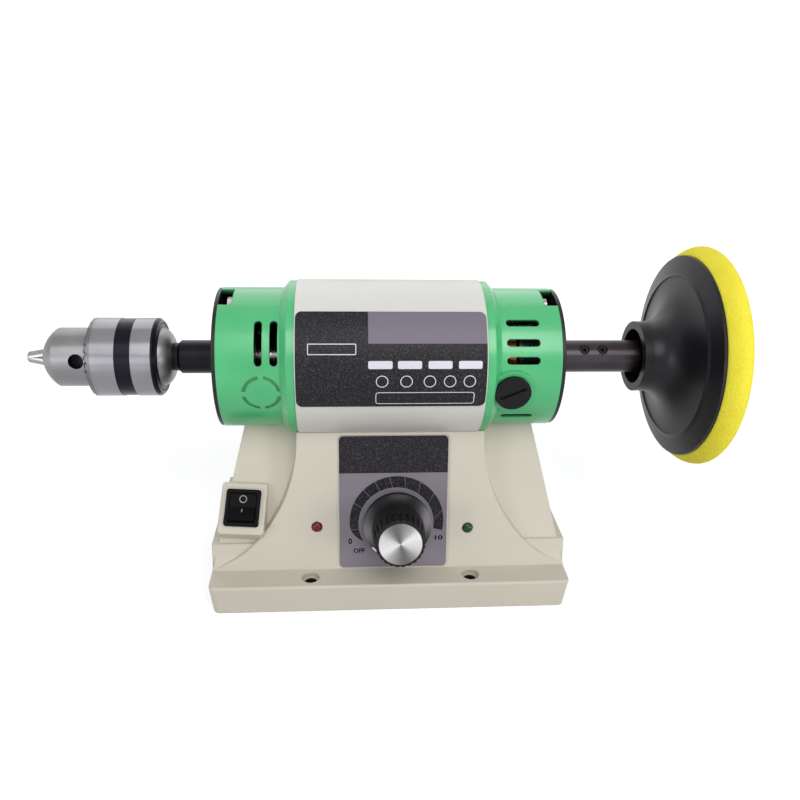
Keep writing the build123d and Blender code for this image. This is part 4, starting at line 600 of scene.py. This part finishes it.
def on_panel(flat, lift=ink_lift):
    """Millimetres to the right and up the slope from the dial's centre, laid on the control plate."""
    right = flat[..., :1] * np.array([1.0, 0.0, 0.0])
    return (dial_centre + right + flat[..., 1:] * panel_rise + (plate_stand + lift) * panel_out) / 1000


def dial_field(name, start, end, material):
    """One field of the dial: between two lines, and between the ring's two circles, the tip drawn in."""
    gap = math.degrees(dial_line_width / 2 / dial_radius)
    share = np.linspace(0, 1, 16)
    outer_turn = start[0] + gap + (end[0] - start[0] - 2 * gap) * share
    inner_turn = start[1] + gap + (end[1] - start[1] - 2 * gap) * share
    outward = np.stack([np.sin(np.radians(outer_turn)), np.cos(np.radians(outer_turn))], -1)
    inward = np.stack([np.sin(np.radians(inner_turn)), np.cos(np.radians(inner_turn))], -1)
    aside = inward @ dial_inner_centre
    reach = aside + np.sqrt(aside**2 - dial_inner_centre @ dial_inner_centre + dial_inner_radius**2)
    inner = inward * reach[:, None]
    full = np.clip((outer_turn - dial_lines[0][0]) / dial_tip_length, 0.02, 1)
    far = reach + (dial_radius - reach) * np.sin(full * math.pi / 2)
    outer = outward * far[:, None]
    rows = np.linspace(0, 1, 4)[:, None, None]
    return surface(name, on_panel(inner + (outer - inner) * rows), material)


def lettering(name, words, centre, size, place, material):
    """Printed characters: the font's flat mesh, made as wide and high as size and laid on a surface."""
    curve = bpy.data.curves.new(name, "FONT")
    curve.body = words
    curve.resolution_u = 3
    curve.offset = 0.035
    holder = bpy.data.objects.new(name, curve)
    bpy.context.scene.collection.objects.link(holder)
    drawn = bpy.data.meshes.new_from_object(holder.evaluated_get(bpy.context.evaluated_depsgraph_get()))
    bpy.data.objects.remove(holder)
    bpy.data.curves.remove(curve)
    points = np.empty(len(drawn.vertices) * 3)
    drawn.vertices.foreach_get("co", points)
    points = points.reshape(-1, 3)[:, :2]
    low, high = points.min(0), points.max(0)
    points = (points - (low + high) / 2) / (high - low) * np.array(size) + np.array(centre)
    drawn.vertices.foreach_set("co", place(points).ravel())
    drawn.materials.clear()
    drawn.materials.append(material)
    drawn.update()
    piece = bpy.data.objects.new(name, drawn)
    bpy.context.scene.collection.objects.link(piece)
    return piece


sheet, tree, shader, place = new_finish("control_sheet", 0.45, specular=0.15)
along, across, height = split(tree, place)
cloud = noise(tree, place, 30.0, 2.0)
grey = two_tone(tree, cloud, panel_grey_shade, panel_grey)
band = flecked(tree, place, label_black, label_fleck)
feed(tree, blend(tree, above(tree, height, black_band_z), grey, band), shader, "Base Color")
dress(sheet, "control_plate")

dial_ink, tree, shader, place = new_finish("dial_ink", 0.45, specular=0.12)
feed(tree, flecked(tree, place, label_black, label_fleck), shader, "Base Color")
for count in range(len(dial_lines) - 1):
    piece = dial_field(f"dial_field_{count + 1}", dial_lines[count], dial_lines[count + 1], dial_ink)
    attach(piece, "frame")
figure_ink = moulded(
    "figure_ink", (0.006, 0.005, 0.007), (0.004, 0.003, 0.005), 0.5, grain=0.000005, gleam=0.1,
)
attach(lettering("dial_figure_low", "0", (-26.5, -11.8), (2.2, 3.7), on_panel, figure_ink), "frame")
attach(lettering("dial_word_off", "OFF", (-21.4, -17.6), (6.6, 2.8), on_panel, figure_ink), "frame")
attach(lettering("dial_figure_high", "10", (24.3, -10.4), (4.6, 2.8), on_panel, figure_ink), "frame")


# Speed knob: a black moulded knob with flutes round its face end, a spun aluminium disc in its face
# and a white pointer mark that runs over the rim of its skirt.
pointer_turn = -136.0
pointer_width = 3.4
rim_low, rim_high, flare_mid = (19.1, 5.3), (19.1, 8.2), (17.8, 8.9)
cap_centre = tuple(dial_centre / 1000)
cap_axis = tuple(panel_out)
# The knob's flare and cap carry a painted sheen along sheen_way, which turns with the knob.
flare_start, flare_highlight_colour = 0.0146, (0.17, 0.16, 0.175, 1)
sheen_turn = math.radians(11)
sheen_way = math.cos(sheen_turn) * np.array([1.0, 0, 0]) + math.sin(sheen_turn) * panel_rise
sheen_side = math.cos(sheen_turn) * panel_rise - math.sin(sheen_turn) * np.array([1.0, 0, 0])
cap_shade_colour = (0.13, 0.126, 0.122, 1)


def turned_away(tree, place):
    """How far a place lies from the knob's axis, and the square of the cosine of its turn from the sheen."""
    around = vector(tree, "SUBTRACT", place, cap_centre)
    across = vector(tree, "DOT_PRODUCT", around, tuple(sheen_way))
    upward = vector(tree, "DOT_PRODUCT", around, tuple(sheen_side))
    flat = wire(tree, "ShaderNodeCombineXYZ", {"X": across, "Y": upward}).outputs[0]
    reach = vector(tree, "LENGTH", flat)
    cosine = split(tree, vector(tree, "NORMALIZE", flat))[0]
    return reach, calc(tree, "MULTIPLY", cosine, cosine)


def painted_flare_highlight(tree, place, colour):
    """A painted highlight on the smooth flare between the skirt and the flutes: a pale wedge on either side.
    """
    reach, square = turned_away(tree, place)
    wedge = calc(tree, "POWER", square, 5.0)
    return blend(tree, calc(tree, "MULTIPLY", wedge, above(tree, reach, flare_start)), colour, flare_highlight_colour)


def painted_cap_sheen(tree, place, colour):
    """A painted sheen on the spun disc: two pale wedges of painted highlight across it and two of painted
    shade between them.
    """
    return blend(tree, turned_away(tree, place)[1], cap_shade_colour, colour)


# The knob and its disc are dressed with the painted sheen above.
spun_black_painted_sheen = turned(
    "spun_black_painted_sheen", (0.006, 0.0055, 0.0065), (0.004, 0.0035, 0.0045), 0.36, ring_scale=3000.0, brushed=0.85,
    centre=cap_centre, axis=cap_axis, metal=0.0, gleam=0.24, over=painted_flare_highlight,
)
dress(spun_black_painted_sheen, "speed_knob")
spun_cap_painted_sheen = turned(
    "spun_cap_painted_sheen", (0.66, 0.65, 0.65), (0.60, 0.59, 0.59), 0.34, ring_scale=5000.0, brushed=0.9,
    centre=cap_centre, axis=cap_axis, over=painted_cap_sheen,
)
dress(spun_cap_painted_sheen, "knob_cap")

profile = np.array([rim_low, rim_high, flare_mid])
turn = math.radians(pointer_turn)
outward = math.sin(turn) * np.array([1.0, 0, 0]) + math.cos(turn) * panel_rise
aside = np.cross(outward, panel_out)
spine = dial_centre + (profile[:, :1] + 0.1) * outward + (profile[:, 1:] + plate_stand) * panel_out
reach = np.linspace(-1, 1, 3)[:, None] * pointer_width / 2
strip = spine[:, None, :] + reach[None] * aside
pointer_ink = moulded("pointer_ink", (0.84, 0.83, 0.84), (0.78, 0.77, 0.78), 0.4, grain=0.000005)
pointer = surface("knob_pointer", strip[:, ::-1] / 1000, pointer_ink)
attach(pointer, "speed_knob")


# Rocker switch: its rim and rocker are moulded in black, and it snaps into the base's opening.
# The rocker carries the marks for off and on.
rocker_centre = np.array([-83.3, -33.0, 54.4])
switch_lean, switch_roll, rocker_tilt = math.radians(46), math.radians(-3.5), math.radians(11)
rocker_reach = 8.1
rocker_dip, rocker_crown = 1.4, 3.4
switch_out = np.array([0.0, -math.cos(switch_lean), math.sin(switch_lean)])
switch_side = np.array([
    math.cos(switch_roll), math.sin(switch_roll) * math.sin(switch_lean),
    math.sin(switch_roll) * math.cos(switch_lean),
])
switch_rise = np.cross(switch_out, switch_side)


def on_rocker(flat, lift=0.05):
    """Millimetres across the rocker and along it from its pivot, laid on its two sloping wings."""
    along = switch_rise * math.cos(rocker_tilt) - switch_out * math.sin(rocker_tilt)
    out = switch_out * math.cos(rocker_tilt) + switch_rise * math.sin(rocker_tilt)
    height = rocker_dip + np.abs(flat[..., 1:]) / rocker_reach * (rocker_crown - rocker_dip) + lift
    foot = rocker_centre + 0.5 * switch_out + flat[..., :1] * switch_side
    return (foot + flat[..., 1:] * along + height * out) / 1000


switch_black = moulded(
    "switch_black", (0.006, 0.005, 0.006), (0.004, 0.0035, 0.004), 0.48, grain=0.00001, gleam=0.06,
)
dress(switch_black, "switch_body", "switch_rocker")
mark_ink = moulded("mark_ink", (0.34, 0.33, 0.34), (0.28, 0.27, 0.28), 0.5, grain=0.000005)
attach(frame_print("off_mark", (-2.1, 2.1, 2.3, 6.5), 2.09, 0.42, on_rocker, mark_ink), "switch_rocker")
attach(field_print("on_mark", (-0.25, 0.25, -3.4, -1.2), 0.1, on_rocker, mark_ink), "switch_rocker")


# Pilot lamps: one red and one green lens, moulded and domed, with painted light in place of the depth
# of clear plastic. Each sits in its own hole in the panel.
def lens_finish(name, colour, shade):
    """Coloured plastic with painted light: dark in the middle, lighter towards its edge as it turns from the
    view, with a hard gloss.
    """
    material, tree, shader, place = new_finish(name, 0.06, specular=0.3)
    rim_painted_light = wire(tree, "ShaderNodeLayerWeight", {"Blend": 0.4}).outputs["Facing"]
    cloud = noise(tree, place, 500.0, 1.0)
    depth = calc(tree, "MULTIPLY", rim_painted_light, cloud)
    feed(tree, two_tone(tree, depth, shade, colour, 0.0, 0.5), shader, "Base Color")
    return material


dress(lens_finish("red_lens", (0.24, 0.005, 0.024), (0.10, 0.002, 0.011)), "red_lamp")
dress(lens_finish("green_lens", (0.015, 0.13, 0.05), (0.005, 0.035, 0.012)), "green_lamp")


# Speed board, out of sight in the base: a green circuit board with its tracks, a heat sink,
# a film capacitor, a choke and a terminal block.
def board_finish():
    """Solder mask over copper tracks: rectangles of a paler green, as tracks show through it."""
    material, tree, shader, place = new_finish("solder_mask", 0.35, coat=0.3)
    tracks = wire(tree, "ShaderNodeTexBrick", {
        "Vector": place, "Color1": (0.015, 0.13, 0.045, 1), "Color2": (0.020, 0.17, 0.060, 1),
        "Mortar": (0.008, 0.075, 0.028, 1), "Scale": 220.0, "Mortar Size": 0.03,
    })
    feed(tree, tracks.outputs["Color"], shader, "Base Color")
    emboss(tree, shader, tracks.outputs["Fac"], 0.00005)
    return material


dress(board_finish(), "circuit_board")
dress(plated("sawn_aluminium", (0.70, 0.71, 0.72), (0.60, 0.61, 0.62), 0.36), "heat_sink")
dress(moulded("film_yellow", (0.62, 0.42, 0.05), (0.52, 0.34, 0.04), 0.35), "capacitor")
dress(wound("choke_wire", 0.0008), "choke")
dress(moulded("terminal_green", (0.03, 0.24, 0.08), (0.025, 0.20, 0.065), 0.4), "terminal_block")


# Chuck: a three-jaw key chuck. The nose and the jaws are ground, the toothed sleeve is polished
# with a black band behind its teeth, and the arbor behind it is blacked.
chuck_grey = (0.26, 0.26, 0.265)
chuck_shade = (0.225, 0.225, 0.23)
chuck_black_and_bore_shade = (0.016, 0.015, 0.020)
tooth_grey = (0.17, 0.17, 0.175)
sleeve_bands = (
    (-0.1464, -0.1381, 0.0, 0.03, chuck_black_and_bore_shade), (-0.1277, -0.1, 0.0, 0.03, chuck_black_and_bore_shade),
    (-0.17, -0.1588, 0.0, 0.03, tooth_grey),
)
# The body's bands: black at its back end beyond 16.2 mm from the axis, round the dome, and painted shade in
# black inside the nose, within 15.7 mm of the axis.
body_bands_and_bore_shade = ((-0.1270, -0.1, 0.0162, 0.03, chuck_black_and_bore_shade), (-0.1785, -0.1262, 0.0, 0.0157, chuck_black_and_bore_shade))


def within(tree, value, low, high):
    """One where the value lies between low and high, otherwise nought."""
    return calc(tree, "SUBTRACT", above(tree, value, low), above(tree, value, high))


def banded(bands):
    """What gives a finish another colour in each of the bands, between two places along X and two radii."""

    def coloured(tree, place, colour):
        """The colour, with the bands over it."""
        along = split(tree, place)[0]
        radius = from_axis(tree, place)
        for start, end, least, most, tint in bands:
            length = within(tree, along, start, end)
            width = within(tree, radius, least, most)
            colour = blend(tree, calc(tree, "MULTIPLY", length, width), colour, (*tint, 1))
        return colour

    return coloured


ground_chuck = turned("ground_chuck", chuck_grey, chuck_shade, 0.40, brushed=0.8, over=banded(body_bands_and_bore_shade))
dress(ground_chuck, "chuck_body", "chuck_nut")
polished_sleeve = turned(
    "polished_sleeve", (0.265, 0.262, 0.28), (0.235, 0.232, 0.25), 0.30, brushed=0.9,
    over=banded(sleeve_bands),
)
dress(polished_sleeve, "chuck_sleeve")
hard_jaws = plated("hard_jaws", (0.34, 0.34, 0.35), (0.26, 0.26, 0.27), 0.3)
dress(hard_jaws, "chuck_jaw_1", "chuck_jaw_2", "chuck_jaw_3")
blacked = turned("blacked_steel", (0.016, 0.0155, 0.019), (0.012, 0.0115, 0.014), 0.36)
dress(blacked, "chuck_arbor")
black_screws = plated("black_screws", (0.024, 0.023, 0.026), (0.014, 0.014, 0.016), 0.35)
dress(black_screws, "arbor_set_screw", "rod_set_screws")


# Extension rod: a plain turned steel rod, blackened to a dark grey. Two set screws in its sleeve
# end hold it on the shaft's right stub.
rod_screw_places = ((0.1093, -0.00647, 0.13947), (0.1197, -0.00647, 0.13947))
rod_screw_reach = 0.0029
# The colour of the painted shade round the rod's set screws.
screw_shade_colour = (0.006, 0.006, 0.006, 1)


def painted_screw_shade(tree, place, colour):
    """Painted shade round the two set screws in the rod, so that their holes look dark."""
    for centre in rod_screw_places:
        away = vector(tree, "DISTANCE", place, centre)
        colour = blend(tree, above(tree, away, rod_screw_reach), screw_shade_colour, colour)
    return colour


dark_rod = turned(
    "dark_rod", (0.050, 0.043, 0.048), (0.034, 0.029, 0.033), 0.27, ring_scale=1200.0, brushed=0.7,
    over=painted_screw_shade,
)
dress(dark_rod, "extension_rod")


# Backing plate: a rigid black moulding, trumpet-shaped, that carries the foam. It is moulded round
# a steel insert that screws on to the rod's nose, and its hub has painted shade inside.
pad_black = (0.009, 0.0075, 0.0105)
# Painted shade: the hub is made darker between these places along X.
hub_painted_shade = ((0.13, 0.1404, 0.0, 0.03, (0.003, 0.0025, 0.0035)),)
pad_plastic = moulded(
    "pad_plastic", pad_black, (0.007, 0.006, 0.008), 0.34, grain=0.00002, gleam=0.22, over=banded(hub_painted_shade),
)
dress(pad_plastic, "backing_plate")


# Foam pad: a disc of yellow open-cell foam, cut and then glued to the backing plate. It is widest a
# little before its front face.
foam_back, foam_bulge, foam_front = 167.4, 175.8, 179.6
foam_back_radius, foam_radius, foam_front_radius = 57.6, 62.5, 59.1
foam_yellow = (0.80, 0.705, 0.052)
foam_shade = (0.74, 0.635, 0.042)
foam_lump = 0.10


def spin_solid(name, along, radius, material, steps=240, lump=0.0):
    """A closed solid of revolution about the motor axis from stations along it and their radii.
    The radius is drawn in by lump times a sum of sines of the angle and the station; the first and
    last stations are closed by a fan to the axis."""
    turn = np.arange(steps) / steps * 2 * math.pi
    wobble = 2 + np.sin(37 * turn + along[:, None] * 3.1) + np.sin(61 * turn - along[:, None] * 4.3)
    reach = radius[:, None] - lump * wobble / 4 * (radius[:, None] > foam_back_radius / 2)
    grid = np.stack([
        np.broadcast_to(along[:, None], reach.shape), reach * np.cos(turn),
        1000 * axis_height + reach * np.sin(turn),
    ], -1)
    poles = np.array([[along[0], 0, 1000 * axis_height], [along[-1], 0, 1000 * axis_height]])
    number = np.arange(grid.shape[0] * steps).reshape(-1, steps)
    number = np.hstack([number, number[:, :1]])
    quads = np.stack([number[:-1, :-1], number[1:, :-1], number[1:, 1:], number[:-1, 1:]], -1).reshape(-1, 4)
    first = np.stack([np.full(steps, grid.shape[0] * steps), number[0, :-1], number[0, 1:]], -1)
    last = np.stack([np.full(steps, grid.shape[0] * steps + 1), number[-1, 1:], number[-1, :-1]], -1)
    points = np.vstack([grid.reshape(-1, 3), poles]) / 1000
    return put_mesh(name, points, quads.tolist() + first.tolist() + last.tolist(), material)


def foam_finish():
    """Open-cell foam: round cells about half a millimetre wide with painted shade on the floor of each."""
    material, tree, shader, place = new_finish("yellow_foam", 0.85, specular=0.2)
    cells = wire(tree, "ShaderNodeTexVoronoi", {"Vector": place, "Scale": 1300.0}).outputs["Distance"]
    cloud = noise(tree, place, 120.0, 4.0)
    # Painted shade in each pore, mixed with a random cloud of tone.
    pit = calc(tree, "MULTIPLY", cells, cloud)
    feed(tree, two_tone(tree, pit, foam_shade, foam_yellow, 0.08, 0.30), shader, "Base Color")
    emboss(tree, shader, cells, 0.0002)
    shader.inputs["Subsurface Weight"].default_value = 0.15
    shader.inputs["Subsurface Radius"].default_value = (0.004, 0.003, 0.001)
    shader.inputs["Subsurface Scale"].default_value = 1.0
    return material


rise = np.linspace(0, 1, 30)
side = np.linspace(0, 1, 14)[1:]
face = np.linspace(1, 0.04, 16)
stations = np.concatenate([
    np.full(12, foam_back), foam_back + (foam_bulge - foam_back) * rise,
    foam_bulge + (foam_front - foam_bulge) * np.sin(side * math.pi / 2), np.full(15, foam_front),
])
radii = np.concatenate([
    foam_back_radius * np.linspace(0.04, 0.97, 12),
    foam_back_radius + (foam_radius - foam_back_radius) * np.sin(rise * math.pi / 2) ** 0.8,
    foam_front_radius + (foam_radius - foam_front_radius) * np.cos(side * math.pi / 2),
    foam_front_radius * face[1:],
])
foam = spin_solid("foam_disc", stations, radii, foam_finish(), lump=foam_lump)
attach(foam, "spindle")
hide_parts("foam_pad")


# Hook face: a disc of woven tape glued to the foam, covered in small bent nylon hooks. The hooks are
# fewer and larger than real ones, so that they show.
hook_back, hook_cloth = 179.6, 180.05
hook_reach = 58.6
hook_count = 3200
golden_turn = math.pi * (3 - math.sqrt(5))
hook_heights = np.array([0, 0.35, 0.60, 0.70, 0.62])
hook_leans = np.array([0, 0.02, 0.10, 0.30, 0.48])
hook_thicknesses = np.array([0.15, 0.11, 0.10, 0.09, 0.05])
hook_bends = np.radians([0, 10, 45, 90, 130])


def hook_field(name, material):
    """Bent hooks in a golden-angle spiral: each is a three-sided tapering tube that rises and bends over.
    Hook i stands at radius reach times the root of i over count, turned by i golden turns."""
    number = np.arange(hook_count) + 0.5
    radius = hook_reach * np.sqrt(number / hook_count)
    turn = number * golden_turn
    depth = np.full(hook_count, hook_cloth - 0.05)
    foot = np.stack([depth, radius * np.cos(turn), radius * np.sin(turn)], -1)
    foot = foot + np.array([0, 0, 1000 * axis_height])
    way = np.stack([np.zeros(hook_count), np.cos(5 * turn), np.sin(5 * turn)], -1)
    up = np.array([1.0, 0, 0])
    beside = np.cross(up, way)
    corner = np.arange(3) * 2 * math.pi / 3
    across = (np.cos(hook_bends)[:, None] * way[:, None] - np.sin(hook_bends)[:, None] * up)[:, :, None]
    centre = foot[:, None] + hook_heights[:, None] * up + hook_leans[:, None] * way[:, None]
    spread = np.cos(corner)[:, None] * across + np.sin(corner)[:, None] * beside[:, None, None]
    points = centre[:, :, None] + hook_thicknesses[:, None, None] * spread
    index = np.arange(hook_count * 15).reshape(hook_count, 5, 3)
    index = np.concatenate([index, index[:, :, :1]], 2)
    walls = np.stack([index[:, :-1, :-1], index[:, :-1, 1:], index[:, 1:, 1:], index[:, 1:, :-1]], -1)
    tips = index[:, -1, :3]
    faces = walls.reshape(-1, 4).tolist() + tips.tolist()
    return put_mesh(name, points.reshape(-1, 3) / 1000, faces, material)


def tape_finish(name, colour, shade):
    """Woven tape: fine crossed threads."""
    material, tree, shader, place = new_finish(name, 0.7, specular=0.3)
    thread = {"Vector": place, "Scale": 320.0}
    weft = wire(tree, "ShaderNodeTexWave", thread, bands_direction="Y").outputs["Fac"]
    warp = wire(tree, "ShaderNodeTexWave", thread, bands_direction="Z").outputs["Fac"]
    threads = calc(tree, "MULTIPLY", weft, warp)
    feed(tree, two_tone(tree, threads, shade, colour, 0.0, 0.6), shader, "Base Color")
    emboss(tree, shader, threads, 0.0001)
    return material


cloth_x = np.array([hook_back, hook_back, hook_back, hook_cloth, hook_cloth, hook_cloth])
cloth_radius = foam_front_radius * np.array([0.05, 0.6, 1.0, 1.0, 0.6, 0.05])
woven_tape = tape_finish("hook_tape", (0.70, 0.70, 0.68), (0.5, 0.5, 0.48))
cloth = spin_solid("hook_tape", cloth_x, cloth_radius, woven_tape)
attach(cloth, "spindle")
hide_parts("hook_face")
hook_nylon = moulded("hook_nylon", (0.72, 0.72, 0.70), (0.62, 0.62, 0.60), 0.4, edge=0.00002)
hooks = hook_field("tape_hooks", hook_nylon)
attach(hooks, "spindle")
